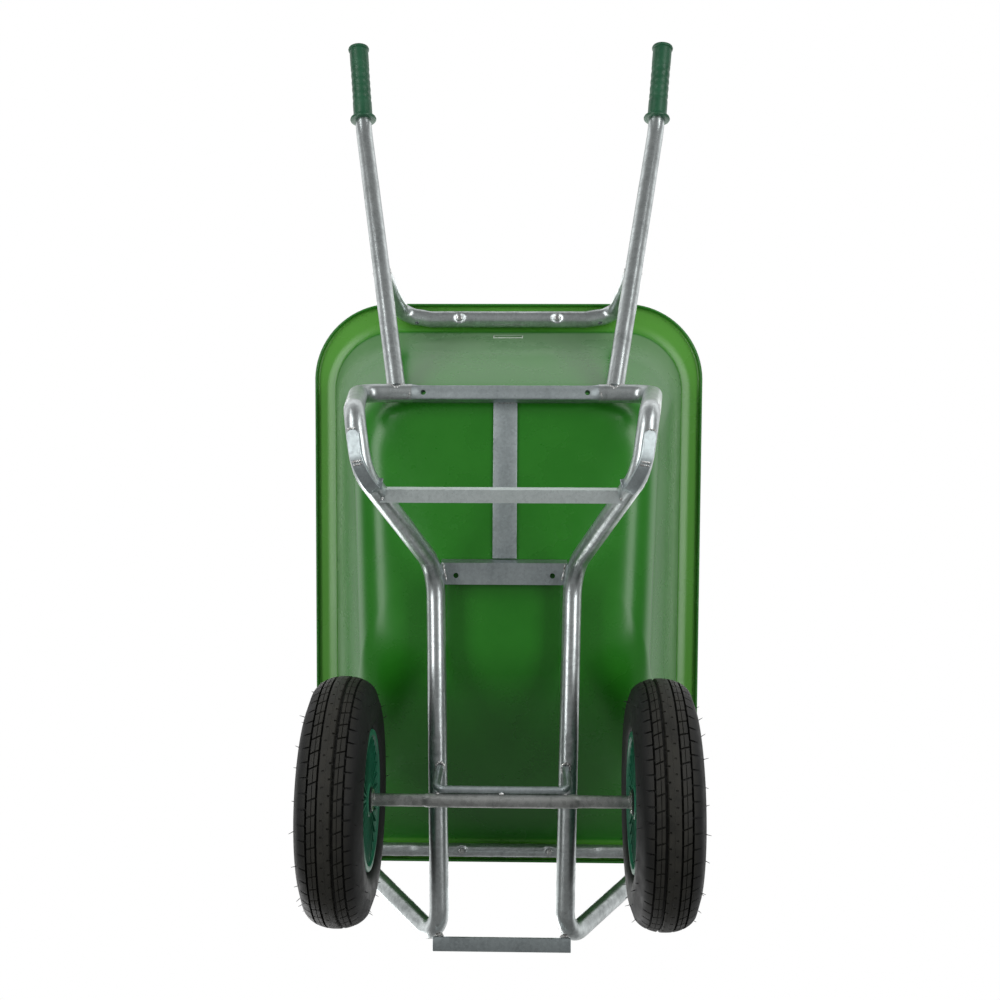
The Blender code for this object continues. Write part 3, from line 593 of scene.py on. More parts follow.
def build_rear_cross_bar():
    """Tube between the bends, pressed to a squarer section over its middle."""
    lift = 0.0024
    reach = CROSS_END_X + 0.004
    path = even_path([at(-reach, CROSS_Y, CROSS_Z), at(reach, CROSS_Y, CROSS_Z)], 0.0025)

    def section(distance, angle):
        round_share = smooth_step(0.144, 0.170, abs(distance - reach))
        pressed = rectangle_radius(angle, 0.0137, 0.0128) - lift * math.cos(angle)
        return pressed * (1.0 - round_share) + (TUBE_RADIUS - 0.0001) * round_share

    shape = sweep(path, section, segments=72)
    roughen(shape, 0.012, 0.00030, 9.0)
    made = piece("rear_cross_bar_skin", shape, FLAT_METAL, stands_for=["rear_cross_bar"])
    drill(made, both(0.142, CROSS_Y, CROSS_Z), 0.0045, 0.03)


# ---------------------------------------------------------------- flat bars
SKID_HALF_WIDTH = 0.0095
SKID_LEAN = math.radians(13.0)


def bar_shape(half, corner_radius, centre, turn=Matrix.Identity(4)):
    """Flat bar with rounded edges, from its half sizes."""
    shape = bmesh.new()
    place = Matrix.Translation(centre) @ turn
    bmesh.ops.create_cube(shape, size=1.0, matrix=place @ Matrix.Diagonal((*(2.0 * half), 1.0)))
    bmesh.ops.bevel(shape, geom=shape.edges[:], offset=corner_radius, segments=3, profile=0.5,
                    affect="EDGES")
    return shape


def angle_shape(half_length, width, height, thickness):
    """L section along X with its corner at the origin and small rounded edges."""
    profile = [(0.0, 0.0), (0.0, height), (-thickness, height), (-thickness, thickness),
               (-width, thickness), (-width, 0.0)]
    count = 60
    rings = []
    for i in range(count + 1):
        x = half_length * (2.0 * i / count - 1.0)
        rings.append([(x, y, z) for y, z in profile])
    shape = skinned(rings)
    sharp = [e for e in shape.edges if e.is_manifold and e.calc_face_angle() > 0.5]
    bmesh.ops.bevel(shape, geom=sharp, offset=0.0007, segments=2, profile=0.5, affect="EDGES")
    return shape


def build_angle_bar(name, material, size, corner, tilt):
    """Angle section across the barrow, its corner at a place and leaned by a tilt in degrees."""
    shape = angle_shape(*size)
    place = Matrix.Translation(corner) @ Matrix.Rotation(-math.radians(tilt), 4, "X")
    bmesh.ops.transform(shape, matrix=place, verts=shape.verts)
    return piece(name + "_skin", shape, material, stands_for=[name])


def build_flat_bars():
    """Bars across the frame, and the strap and nose bar that keep the CAD's boxes."""
    made = build_angle_bar("front_angle_bar", FLAT_METAL, (0.108, 0.038, 0.030, 0.003),
                           at(0.0, 0.3814, 0.3045), 14)
    drill(made, both(0.0824, 0.3600, 0.310), 0.0045, 0.02)
    build_angle_bar("leg_brace", BRACE_METAL, (0.186, 0.0205, 0.020, 0.003),
                    at(0.0, 0.4850, 0.0640), 17)
    for name, corner_radius in (("centre_strap", 0.0006), ("nose_bar", 0.0012)):
        low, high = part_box(name)
        bar = bar_shape((high - low) / 2.0, corner_radius, (low + high) / 2.0)
        piece(name + "_skin", bar, FLAT_METAL, stands_for=[name])


def weld_skid(side, spots):
    """Runs of weld across the strip at both ends of its worn pad."""
    runs = ((0.5680, 0.0014), (0.5200, 0.0017), (0.5150, 0.0012))
    for number, (station, radius) in enumerate(runs):
        far, across = min(spots, key=lambda spot: abs(spot[0].y - AXLE_Y - station))
        drift = Vector((0.0, 0.0011, 0.0))
        path = [far + across * (0.0085 - 0.0020 * i) + drift * (i % 2) for i in range(9)]
        add_weld(f"{side}_skid_weld_{number}", path, radius, 111 + 3 * number + len(side))


def skid_directions(path, i, sign):
    """Out of the tube and across the strip at a point, leaned outward where the foot is level."""
    along = (path[min(i + 1, len(path) - 1)] - path[max(i - 1, 0)]).normalized()
    across = along.cross(DOWN).normalized()
    out = across.cross(along).normalized()
    if out.z > 0.0:
        out.negate()
    if across.x * sign < 0.0:
        across.negate()
    turn = SKID_LEAN * (1.0 - smooth_step(0.10, 0.75, abs(along.z)))
    return (out * math.cos(turn) + across * math.sin(turn),
            across * math.cos(turn) - out * math.sin(turn))


def skid_half_width(from_end):
    """Half width of the strip at a distance from its nearer end, which is round."""
    rounding = min(from_end / SKID_HALF_WIDTH, 1.0)
    return SKID_HALF_WIDTH * max(math.sqrt(max(1.0 - (1.0 - rounding) ** 2, 0.0)), 0.2)


def build_skids():
    """Flat strips under the worn part of each foot, set to its outer side."""
    foot_start = FRAME_CORNERS[2] + (FRAME_CORNERS[3] - FRAME_CORNERS[2]) * 0.32
    front_leg = FRAME_CORNERS[3] + (FRAME_CORNERS[4] - FRAME_CORNERS[3]) * 0.085
    corners = [foot_start, FRAME_CORNERS[3], front_leg]
    line = even_path(rounded_path(corners, FRAME_RADII[2:3], 16), 0.0025)
    total = sum((b - a).length for a, b in zip(line, line[1:]))
    soft = 0.0008
    for side, sign in SIDES.items():
        path = mirrored(line, sign)
        rings, spots = [], []
        run = 0.0
        for i, place in enumerate(path):
            if i:
                run += (place - path[i - 1]).length
            out, across = skid_directions(path, i, sign)
            half = skid_half_width(min(run, total - run))
            near = place + out * (TUBE_RADIUS - 0.0030)
            far = place + out * (TUBE_RADIUS + SKID_THICKNESS)
            spots.append((far, across))
            rings.append([near - across * half, near + across * half,
                          far + across * half - out * soft, far + across * (half - soft),
                          far - across * (half - soft), far - across * half - out * soft])
        shape = skinned(rings)
        roughen(shape, 0.010, 0.00025, 6.0)
        piece(side + "_skid_plate_skin", shape, FLAT_METAL, stands_for=[side + "_skid_plate"],
              sharp=28.0)
        weld_skid(side, spots)


def add_meshes(shape, *others):
    """Brings other shapes into the first one and frees them."""
    for other in others:
        mesh = bpy.data.meshes.new("join")
        other.to_mesh(mesh)
        other.free()
        shape.from_mesh(mesh)
        bpy.data.meshes.remove(mesh)


# ---------------------------------------------------------------- turned shapes
def turned(profile, steps, closed=False, axis=SIDEWAYS, centre=Vector()):
    """Surface turned about an axis from (distance along the axis, radius) pairs."""
    turn = axis.to_track_quat("Z", "Y")
    rings = []
    for along, radius in profile:
        ring = []
        for k in range(steps):
            angle = math.tau * k / steps
            local = Vector((radius * math.cos(angle), radius * math.sin(angle), along))
            ring.append(centre + turn @ local)
        rings.append(ring)
    return skinned(rings, closed)


def build_axle():
    """One rod through both wheels, thicker between them, with small chamfers at its ends."""
    end = 0.3165
    thin, thick = 0.010, 0.011
    steps = [(end, 0.0088), (end - 0.0012, thin), (0.122, thin), (0.120, thick),
             (-0.120, thick), (-0.122, thin), (-end + 0.0012, thin), (-end, 0.0088)]
    profile = []
    for (x0, r0), (x1, r1) in zip(steps, steps[1:]):
        count = max(1, math.ceil(abs(x1 - x0) / 0.006))
        profile += [(x0 + (x1 - x0) * i / count, r0 + (r1 - r0) * i / count) for i in range(count)]
    profile.append(steps[-1])
    shape = turned(profile, 40, centre=at(0.0, 0.0, AXLE_Z))
    roughen(shape, 0.02, 0.00022, 2.0)
    piece("axle_skin", shape, AXLE_METAL, stands_for=["axle"])


# axle bracket: radius of its rod, station of its cross run and side offset of its legs
BRACKET_ROD = 0.006
BRACKET_Y = 0.011 + GAP + BRACKET_ROD
BRACKET_X = 0.105


def build_axle_bracket():
    """Rod bent to a U that carries the axle under the rails."""
    foot = at(BRACKET_X, BRACKET_Y, AXLE_Z)
    top = at(BRACKET_X, 0.0400, RAIL_Z - 0.012)
    half = rounded_path([at(0.0, BRACKET_Y, AXLE_Z), foot, top], [0.014], 10)[1:]
    path = even_path(mirrored(half[::-1], -1.0) + half, 0.004)
    shape = sweep(path, plain_tube(BRACKET_ROD), segments=28)
    roughen(shape, 0.015, 0.00025, 4.0)
    piece("axle_bracket_skin", shape, FLAT_METAL, stands_for=["axle_bracket"])


# ---------------------------------------------------------------- welds
# length of one ripple of the weld pool
RIPPLE = 0.0032

# welds on each side: name, (side offset, station, height) points, bead radius and seed
BAR_WELDS = [
    ("angle_bar", [(0.0975, 0.3500, 0.2985), (0.1010, 0.3650, 0.2965), (0.1040, 0.3815, 0.2935)],
     0.0018, 51),
    ("brace", [(0.1800, 0.4685, 0.0665), (0.1838, 0.4790, 0.0640), (0.1850, 0.4880, 0.0660)],
     0.0020, 61),
    ("nose", [(0.0960, -0.2340, 0.2842), (0.1035, -0.2310, 0.2838), (0.1110, -0.2345, 0.2842)],
     0.0030, 71),
]
# welds across the middle: name, first side offset, station, height, bead radius and seed
MIDDLE_WELDS = [
    ("strap_rear_weld", -0.018, CROSS_Y - 0.0145, 0.3315, 0.0012, 101),
    ("strap_front_weld", -0.018, 0.3855, 0.3320, 0.0012, 103),
    ("axle_middle_weld", 0.004, BRACKET_Y - 0.0055, AXLE_Z - 0.0050, 0.0022, 105),
]


def bead(path, radius, seed):
    """Weld run: a lumpy bar along a path with the ripples of the moving pool."""
    draw = random.Random(seed)
    path = even_path(path, 0.0012)
    wobble = [Vector([draw.uniform(-1, 1) for _ in range(3)]) * radius * 0.10 for _ in path]
    path = [place + shift for place, shift in zip(path, wobble)]
    total = sum((b - a).length for a, b in zip(path, path[1:]))

    def section(distance, angle):
        taper = smooth_step(-0.001, 0.004, min(distance, total - distance))
        ripple = 1.0 + 0.13 * math.sin(distance * math.tau / RIPPLE)
        swell = 1.0 + 0.28 * noise.noise(Vector((distance * 90.0, seed * 3.1, angle)))
        return radius * max(taper, 0.2) * ripple * swell

    return sweep(path, section, segments=12)


def saddle(tube_start, along, axis, angles, lift):
    """Curve where a tube's skin meets another tube through its start, both of the same size."""
    side = along.cross(UP).normalized()
    top = side.cross(along).normalized()
    places = []
    for angle in angles:
        spoke = side * math.cos(angle) + top * math.sin(angle)
        origin = spoke * (TUBE_RADIUS + lift)
        flat_origin = origin - axis * origin.dot(axis)
        flat_along = along - axis * along.dot(axis)
        a = flat_along.dot(flat_along)
        b = 2.0 * flat_origin.dot(flat_along)
        c = flat_origin.dot(flat_origin) - (TUBE_RADIUS + lift) ** 2
        root = b * b - 4.0 * a * c
        run = -b / (2.0 * a)
        if root > 0.0:
            run = (-b + math.sqrt(root)) / (2.0 * a)
        places.append(tube_start + origin + along * run)
    return places


def ring_angles(count=48):
    """Angles once round, the last the same as the first."""
    return [math.radians(360 * i / (count - 1)) for i in range(count)]


def add_weld(name, path, radius, seed):
    piece(name, bead(path, radius, seed), WELD, sharp=60.0)


def add_side_weld(name, side, points, radius, seed):
    """Weld on one side, through (side offset, station, height) points of the left one."""
    sign = SIDES[side]
    add_weld(f"{side}_{name}_weld", [at(sign * x, y, z) for x, y, z in points], radius,
             seed + int(sign))


def build_tube_welds():
    for side, sign in SIDES.items():
        start, bend = mirrored([HANDLE_START, HANDLE_BEND], sign)
        along = (bend - start).normalized()
        loop = saddle(start, along, SIDEWAYS, ring_angles(), -0.0006)
        add_weld(side + "_handle_weld", loop, 0.0016, 21 + int(sign))
        leg_top, leg_end = mirrored(HOOP_CORNERS[1:], sign)
        leg = (leg_top - leg_end).normalized()
        loop = saddle(leg_end, leg, along, ring_angles(), -0.0004)
        add_weld(side + "_hoop_weld", loop, 0.0018, 31 + int(sign))
        add_side_weld("cross", side, [(0.1700, CROSS_Y - 0.012, CROSS_Z - 0.0095),
                                      (0.1650, CROSS_Y - 0.004, CROSS_Z - 0.0145),
                                      (0.1668, CROSS_Y + 0.006, CROSS_Z - 0.0135)], 0.0017, 41)


def build_bar_welds():
    for side, sign in SIDES.items():
        for name, points, radius, seed in BAR_WELDS:
            add_side_weld(name, side, points, radius, seed)
        rod_top = at(sign * BRACKET_X, 0.0395, RAIL_Z - TUBE_RADIUS + 0.0008)
        loop = [rod_top + Vector((0.0072 * math.cos(a), 0.0085 * math.sin(a), 0.0))
                for a in ring_angles(24)]
        add_weld(side + "_bracket_weld", loop, 0.0024, 81 + int(sign))
        add_side_weld("axle", side, [(0.0990, BRACKET_Y - 0.006, AXLE_Z - 0.0055),
                                     (0.1040, BRACKET_Y - 0.006, AXLE_Z - 0.0060)], 0.0020, 91)
    for name, start, y, z, radius, seed in MIDDLE_WELDS:
        add_weld(name, [at(start, y, z), at(-start, y, z)], radius, seed)


# ---------------------------------------------------------------- tray
CORNER_STEPS = 20
EDGE_STEPS = 14
# rear and front station, rear and front half width, rear and front corner radius
FLOOR_SHAPE = (0.668, 0.215, 0.195, 0.180, 0.095, 0.095)
MOUTH_SHAPE = (0.850, -0.140, 0.341, 0.322, 0.115, 0.060)
RIM_SHAPE = (0.904, -0.181, 0.382, 0.362, 0.150, 0.070)
LIP_DROP = 0.009


def outline(shape, grow, height):
    """Closed round-cornered trapezium with points along its straight edges too."""
    rear_y, front_y, rear_half, front_half, rear_radius, front_radius = shape
    corners = [(1, rear_half, rear_y, rear_radius, 0), (-1, rear_half, rear_y, rear_radius, 90),
               (-1, front_half, front_y, front_radius, 180), (1, front_half, front_y, front_radius, 270)]
    arcs = []
    for sign, half, y, radius, start in corners:
        inward = -1 if start < 180 else 1
        arc = []
        for step in range(CORNER_STEPS + 1):
            angle = math.radians(start + 90.0 * step / CORNER_STEPS)
            reach = radius + grow
            arc.append(at(sign * (half - radius) + reach * math.cos(angle),
                          y + inward * radius + reach * math.sin(angle), height))
        arcs.append(arc)
    points = []
    for arc, following in zip(arcs, arcs[1:] + arcs[:1]):
        points += arc
        for step in range(1, EDGE_STEPS):
            points.append(arc[-1].lerp(following[0], step / EDGE_STEPS))
    return points


def between_shapes(end_share, side_share):
    """Outline on the way from the floor's to the mouth's, by separate shares for ends and sides."""
    corner_share = (end_share + side_share) / 2.0
    shares = (end_share, end_share, side_share, side_share, corner_share, corner_share)
    return tuple(low + (high - low) * share
                 for low, high, share in zip(FLOOR_SHAPE, MOUTH_SHAPE, shares))


def curve_rings(first, corner, last, steps):
    """Rings along the quadratic curve from the first ring to the last one past a corner ring."""
    return [[a * (1 - t) ** 2 + b * 2 * t * (1 - t) + c * t * t
             for a, b, c in zip(first, corner, last)]
            for t in (step / steps for step in range(steps + 1))]


# curved pieces of the walls: (share of the way out to the mouth, height above the floor)
END_PROFILE = [((-0.110, 0.0), (0.035, 0.0), (0.200, 0.043)),
               ((0.200, 0.043), (0.550, 0.138), (0.860, 0.2385)),
               ((0.860, 0.2385), (0.945, 0.2655), (1.0, 0.2771))]
SIDE_PROFILE = [((0.034, 0.0), (0.459, 0.0), (0.548, 0.060)),
                ((0.548, 0.060), (0.7655, 0.161), (0.983, 0.262)),
                ((0.983, 0.262), (0.991, 0.270), (1.0, 0.2771))]
# heights above the floor of the wall's top and of the end of its curved foot
WALL_TOP = 0.2771
FOOT_RISE = 0.060


def profile_share(profile, rise):
    """Share of the way out at a height, along quadratic curves that climb all the way."""
    for (s0, z0), (s1, z1), (s2, z2) in profile:
        if rise <= z2 or z2 == WALL_TOP:
            low, high = 0.0, 1.0
            for _ in range(40):
                t = (low + high) / 2.0
                if z0 * (1 - t) ** 2 + 2 * z1 * t * (1 - t) + z2 * t * t < rise:
                    low = t
                else:
                    high = t
            return s0 * (1 - t) ** 2 + 2 * s1 * t * (1 - t) + s2 * t * t
    return 1.0


def wall_ring(rise):
    """Ring of the wall at a height above the floor; the sides curve more than the ends."""
    shape = between_shapes(profile_share(END_PROFILE, rise), profile_share(SIDE_PROFILE, rise))
    return outline(shape, 0.0, TRAY_FLOOR_Z + rise)


def straight_rings(first, last, steps):
    """Rings in even steps from the first ring, which is left out, to the last one."""
    return [[a.lerp(b, i / steps) for a, b in zip(first, last)] for i in range(1, steps + 1)]


def tray_rings():
    """Rings of the underside, from the middle of the floor to the lip's edge."""
    rings = [outline(between_shapes(END_PROFILE[0][0][0], 0.0), -inset, TRAY_FLOOR_Z)
             for inset in (0.080, 0.060, 0.040, 0.020)]
    rings += [wall_ring(FOOT_RISE * (i / 16) ** 2) for i in range(17)]
    rings += [wall_ring(FOOT_RISE + (WALL_TOP - FOOT_RISE) * i / 28) for i in range(1, 29)]
    step = outline(MOUTH_SHAPE, 0.0016, TRAY_FLOOR_Z + WALL_TOP)
    rings += straight_rings(rings[-1], step, 2)
    level = outline(MOUTH_SHAPE, 0.020, TRAY_FLANGE_Z)
    inner = outline(MOUTH_SHAPE, 0.014, TRAY_FLANGE_Z)
    rings += curve_rings(step, inner, level, 6)[1:]
    outer = outline(RIM_SHAPE, -TRAY_THICKNESS - 0.007, TRAY_FLANGE_Z)
    rings += straight_rings(level, outer, 4)
    turn = outline(RIM_SHAPE, -TRAY_THICKNESS, TRAY_FLANGE_Z)
    low = outline(RIM_SHAPE, -TRAY_THICKNESS, TRAY_FLANGE_Z - 0.006)
    rings += curve_rings(outer, turn, low, 8)[1:]
    return rings + [outline(RIM_SHAPE, -TRAY_THICKNESS, TRAY_FLANGE_Z - LIP_DROP)]


def build_tray():
    """Underside skin from the floor to the lip, thickened upwards and outwards."""
    rings = tray_rings()
    shape = skinned(rings, ends=False)
    shape.verts.ensure_lookup_table()
    floor = shape.faces.new(shape.verts[:len(rings[0])])
    bmesh.ops.recalc_face_normals(shape, faces=shape.faces)
    floor.normal_update()
    if floor.normal.z > 0.0:
        bmesh.ops.reverse_faces(shape, faces=shape.faces)
    made = piece("tray_shell", shape, GREEN, stands_for=["tray"], sharp=60.0, relax=False)
    shell = made.modifiers.new("wall", "SOLIDIFY")
    shell.thickness = TRAY_THICKNESS
    shell.offset = -1.0
    shell.use_even_offset = True


def build_mould_ring():
    """Ring of small raised dots that the mould leaves on the underside of the floor."""
    shape = bmesh.new()
    dots = 26
    ring_radius = 0.0135
    for k in range(dots):
        angle = math.tau * k / dots
        place = at(-0.1005 + ring_radius * math.cos(angle), 0.4363 + ring_radius * math.sin(angle),
                   TRAY_FLOOR_Z + 0.0001)
        flat = Matrix.Diagonal((1, 1, 0.6, 1))
        bmesh.ops.create_icosphere(shape, subdivisions=2, radius=0.0008,
                                   matrix=Matrix.Translation(place) @ flat)
    piece("tray_mould_ring", shape, GREEN)


def build_label():
    """Blank film on the rear wall, just under the rim, with a darker field inside its border."""
    rise = 0.2535
    reach = MOUTH_SHAPE[0] - FLOOR_SHAPE[0]
    low, high = (FLOOR_SHAPE[0] + reach * profile_share(END_PROFILE, rise + step)
                 for step in (-0.004, 0.004))
    slope = math.atan2(0.008, high - low)
    outward = Vector((0.0, math.sin(slope), -math.cos(slope)))
    middle = at(0.0, (low + high) / 2.0, TRAY_FLOOR_Z + rise) + outward * 0.0006
    turn = Matrix.Rotation(slope, 4, "X")
    border = bar_shape(Vector((0.0292, 0.0070, 0.0004)), 0.0002, middle, turn)
    piece("label_film", border, LABEL, stands_for=["label_plate"])
    field = bar_shape(Vector((0.0272, 0.0048, 0.0004)), 0.0002, middle + outward * 0.0002, turn)
    piece("label_field", field, LABEL_FIELD)


# ---------------------------------------------------------------- grips and fasteners
def build_grips():
    """Moulded sleeves with a domed end, fine ridges over the palm and a hand stop."""
    dome = [(0.0048, 0.0010), (0.0048, 0.0190), (0.0040, 0.0203), (0.0018, 0.0212),
            (-0.0010, 0.0208), (-0.0022, 0.0188)]
    body = []
    for i in range(60):
        along = -0.004 - 0.142 * i / 59
        band = smooth_step(-0.118, -0.112, along) - smooth_step(-0.040, -0.034, along)
        ridge = smooth_step(0.0, 1.0, (math.sin(along * math.tau / 0.0155) + 0.2) * 2.0)
        body.append((along, 0.0190 - 0.0008 * band + 0.0006 * ridge * band))
    stop = [(-0.1480, 0.0196), (-0.1500, 0.0225), (-0.1512, 0.0252), (-0.1540, 0.0262),
            (-0.1562, 0.0255), (-0.1570, 0.0235), (-0.1570, TUBE_RADIUS + 0.0002)]
    for side, sign in SIDES.items():
        end, axis = mirrored([HANDLE_END, GRIP_AXIS], sign)
        shape = turned(dome + body + stop, 56, axis=axis, centre=end + axis * GAP)
        piece(side + "_grip_sleeve", shape, GRIP, stands_for=[side + "_grip"])


def fastener_places():
    """Name, side offset, station and the tube's underside height of each tray bolt."""
    for end, y, tube_z, radius in (("rear", HOOP_Y, HOOP_Z, TUBE_RADIUS),
                                   ("front", FRONT_TUBE_Y, FRONT_TUBE_Z, FRONT_TUBE_RADIUS)):
        for side, sign in SIDES.items():
            yield end + "_" + side, sign * BOLT_X[end], y, tube_z - radius


def build_fasteners():
    """Washer and domed bolt head on the rim, and a nut in the dimple of the tube below."""
    top = TRAY_FLANGE_Z + TRAY_THICKNESS
    for name, x, y, bottom in fastener_places():
        washer = turned([(0.0, 0.0034), (0.0, 0.0078), (0.0003, 0.0081), (0.0010, 0.0080),
                         (0.0013, 0.0076), (0.0013, 0.0034)], 36, closed=True, axis=UP,
                        centre=at(x, y, top + GAP))
        piece(name + "_washer_ring", washer, ZINC, stands_for=[name + "_washer"])
        head = [(0.0044, 0.0006), (0.0042, 0.0020), (0.0034, 0.0042), (0.0022, 0.0056),
                (0.0008, 0.0063), (0.0, 0.0062), (0.0, 0.0030), (bottom - top + 0.0015, 0.0030),
                (bottom - top + 0.0008, 0.0024)]
        bolt = turned(head, 36, axis=UP, centre=at(x, y, top + GAP + 0.0014))
        piece(name + "_bolt_turned", bolt, ZINC, stands_for=[name + "_bolt"])
        nut = bmesh.new()
        bmesh.ops.create_cone(nut, cap_ends=True, segments=6, radius1=0.0058, radius2=0.0058,
                              depth=0.005, matrix=Matrix.Translation(at(x, y, bottom + 0.0019)))
        bmesh.ops.bevel(nut, geom=nut.edges[:], offset=0.0005, segments=2, profile=0.5,
                        affect="EDGES")
        piece(name + "_nut_hex", nut, ZINC, stands_for=[name + "_nut"])


# ---------------------------------------------------------------- tyres
# stations and grooves are millimetres from the middle of the running surface
PITCHES = 52
MAIN_GROOVE = 11.4
SIDE_GROOVE = 26.8
SLIT = 18.6
TREAD_EDGE = 39.5
# cuts across the tread: from, to and depth in millimetres, phase of the pitch, half width
OUTSIDE_CUTS = [(2.0, 5.6, 3.0, 0.0, 0.032), (MAIN_GROOVE, SIDE_GROOVE, 4.0, 0.375, 0.045),
                (SIDE_GROOVE, TREAD_EDGE, 3.4, 0.875, 0.045)]
INSIDE_CUTS = [(4.4, MAIN_GROOVE, 3.6, 0.5, 0.038), (MAIN_GROOVE, SIDE_GROOVE, 4.0, 0.125, 0.045),
               (SIDE_GROOVE, TREAD_EDGE, 3.4, 0.750, 0.045)]
TREAD_STATIONS = (43.0, 39.8, 36.5, 33.5, 30.5, 28.4, 27.9, 25.7, 25.2, 22.0, 19.2, 18.8, 18.4, 18.0,
                  15.5, 13.6, 13.1, 12.6, 10.2, 9.7, 7.6, 5.7, 5.5, 4.5, 4.3, 2.1, 1.9, 0.65, 0.2)


def carcass(share):
    """Outer tyre profile from the inner bead round to the outer one: (x, radius)."""
    points = [(-0.0375, 0.1045), (-0.0380, 0.1125), (-0.0440, 0.1160), (-0.0490, 0.1280),
              (-0.0508, 0.1440), (-0.0500, 0.1590), (-0.0468, 0.1715), (-0.0405, 0.1812),
              (-0.0310, 0.1882), (-0.0200, 0.1925), (-0.0100, 0.1945), (0.0, 0.1950)]
    points += [(-x, r) for x, r in reversed(points[:-1])]
    reach = [0.0]
    for (x0, r0), (x1, r1) in zip(points, points[1:]):
        reach.append(reach[-1] + math.hypot(x1 - x0, r1 - r0))
    target = share * reach[-1]
    for i in range(len(points) - 1):
        if target <= reach[i + 1] or i == len(points) - 2:
            t = (target - reach[i]) / (reach[i + 1] - reach[i])
            p = [points[max(i - 1, 0)], points[i], points[i + 1], points[min(i + 2, len(points) - 1)]]
            return tuple(0.5 * ((2 * p[1][k]) + (p[2][k] - p[0][k]) * t
                                + (2 * p[0][k] - 5 * p[1][k] + 4 * p[2][k] - p[3][k]) * t * t
                                + (3 * p[1][k] - p[0][k] - 3 * p[2][k] + p[3][k]) * t ** 3)
                         for k in (0, 1))
    return points[-1]


def near_phase(phase, centre, half):
    """1 inside a lateral cut centred on a phase of the pitch, 0 outside, with short walls."""
    away = abs((phase - centre + 0.5) % 1.0 - 0.5)
    return 1.0 - smooth_step(half, half + 0.020, away)


def groove(away, centre, half, wall):
    """1 inside a groove that runs round the tyre, 0 past its walls; millimetres."""
    return 1.0 - smooth_step(half, half + wall, abs(away - centre))


def tread_depth(u, phase):
    """Depth cut into the carcass at a distance towards the outside and a phase of the pitch."""
    outside = u >= 0.0
    away = abs(u) * 1000.0
    depth = max(0.35 * groove(away, 0.0, 0.25, 0.35),
                5.2 * groove(away, MAIN_GROOVE, 1.2 if outside else 1.7, 0.45),
                4.6 * groove(away, SIDE_GROOVE, 1.1, 0.45),
                1.6 * groove(away, SLIT, 0.2, 0.3))
    fade = 1.0 - smooth_step(33.0, TREAD_EDGE, away)
    for start, end, deep, centre, half in OUTSIDE_CUTS if outside else INSIDE_CUTS:
        if start <= away < end:
            depth = max(depth, deep * fade * near_phase(phase, centre, half))
    return depth / 1000.0


def pitch_phases():
    """Columns of one tread pitch, set at the walls of every lateral cut."""
    phases = set()
    for _, _, _, centre, _ in OUTSIDE_CUTS + INSIDE_CUTS:
        for offset in (-0.064, -0.042, 0.042, 0.064):
            phases.add(round((centre + offset) % 1.0, 4))
    return sorted(phases)


def slant(u):
    """Circumferential lean of the lateral cuts outside the middle rib, in metres."""
    reach = min(max(abs(u) - MAIN_GROOVE / 1000.0, 0.0), 0.0150)
    return -0.38 * math.copysign(reach, u)


def wheel_centre(sign):
    return at(sign * WHEEL_X, 0.0, AXLE_Z)


def tyre_profile():
    """Outer profile of the tyre from one bead to the other, with a ring at every groove wall."""
    fine = [carcass(i / 4000) for i in range(2001)]
    lower = [carcass(share) for share in (0.0, 0.03, 0.06, 0.09, 0.12, 0.15, 0.18, 0.205, 0.23)]
    treads = [min(fine, key=lambda spot: abs(spot[0] + station / 1000.0) + 9.0 * (spot[1] < 0.170))
              for station in TREAD_STATIONS]
    half = lower + treads
    return half + [(0.0, half[-1][1])] + [(-x, r) for x, r in reversed(half)]


def build_tyre(side, sign):
    centre = wheel_centre(sign)

    def on_wheel(x, radius, angle):
        return centre + Vector((sign * x, radius * math.cos(angle), radius * math.sin(angle)))

    phases = pitch_phases()
    columns = [(pitch, phase) for pitch in range(PITCHES) for phase in phases]
    rings = []
    for x, radius in tyre_profile():
        ring = []
        for pitch, phase in columns:
            depth = tread_depth(x, phase) if radius > 0.176 else 0.0
            arc = (pitch + phase) / PITCHES * 2.0 * math.pi + slant(x) / WHEEL_RADIUS
            ring.append(on_wheel(x, radius - depth, sign * arc))
        rings.append(ring)
    for x, radius in ((0.0300, 0.1045), (0.0, 0.1050), (-0.0300, 0.1045)):
        rings.append([on_wheel(x, radius, sign * math.tau * k / len(columns))
                      for k in range(len(columns))])
    piece(side + "_tyre_tread", skinned(rings, loop=True), RUBBER, body=side + "_wheel",
          stands_for=[side + "_tyre"])


def build_vent_hairs(side, sign):
    """Moulding hairs left on the tyre's shoulders and walls."""
    centre = wheel_centre(sign)
    shape = bmesh.new()
    draw = random.Random(5 if sign > 0 else 9)
    hairs = 26
    for face in (-1.0, 1.0):
        for k in range(hairs):
            angle = math.tau * (k + draw.uniform(-0.3, 0.3)) / hairs
            x, radius = carcass(draw.choice((0.23, 0.27, 0.31)))
            x *= -face
            spoke = Vector((0.0, math.cos(angle), math.sin(angle)))
            root = centre + Vector((x, 0.0, 0.0)) + spoke * (radius - 0.0015)
            lean = Vector((face * draw.uniform(0.7, 1.0) * (1 if x * face > 0 else -1), 0.0, 0.0))
            away = (lean + spoke * draw.uniform(0.2, 0.7)
                    + spoke.cross(lean) * draw.uniform(-0.5, 0.5)).normalized()
            length = draw.uniform(0.004, 0.0085)
            bmesh.ops.create_cone(shape, cap_ends=True, segments=5, radius1=0.00065,
                                  radius2=0.00030, depth=length,
                                  matrix=facing(root + away * length / 2.0, away))
    piece(side + "_tyre_hairs", shape, RUBBER, body=side + "_wheel")


# ---------------------------------------------------------------- wheel centres
RIBS = 32
HUB_HALF = 0.0435


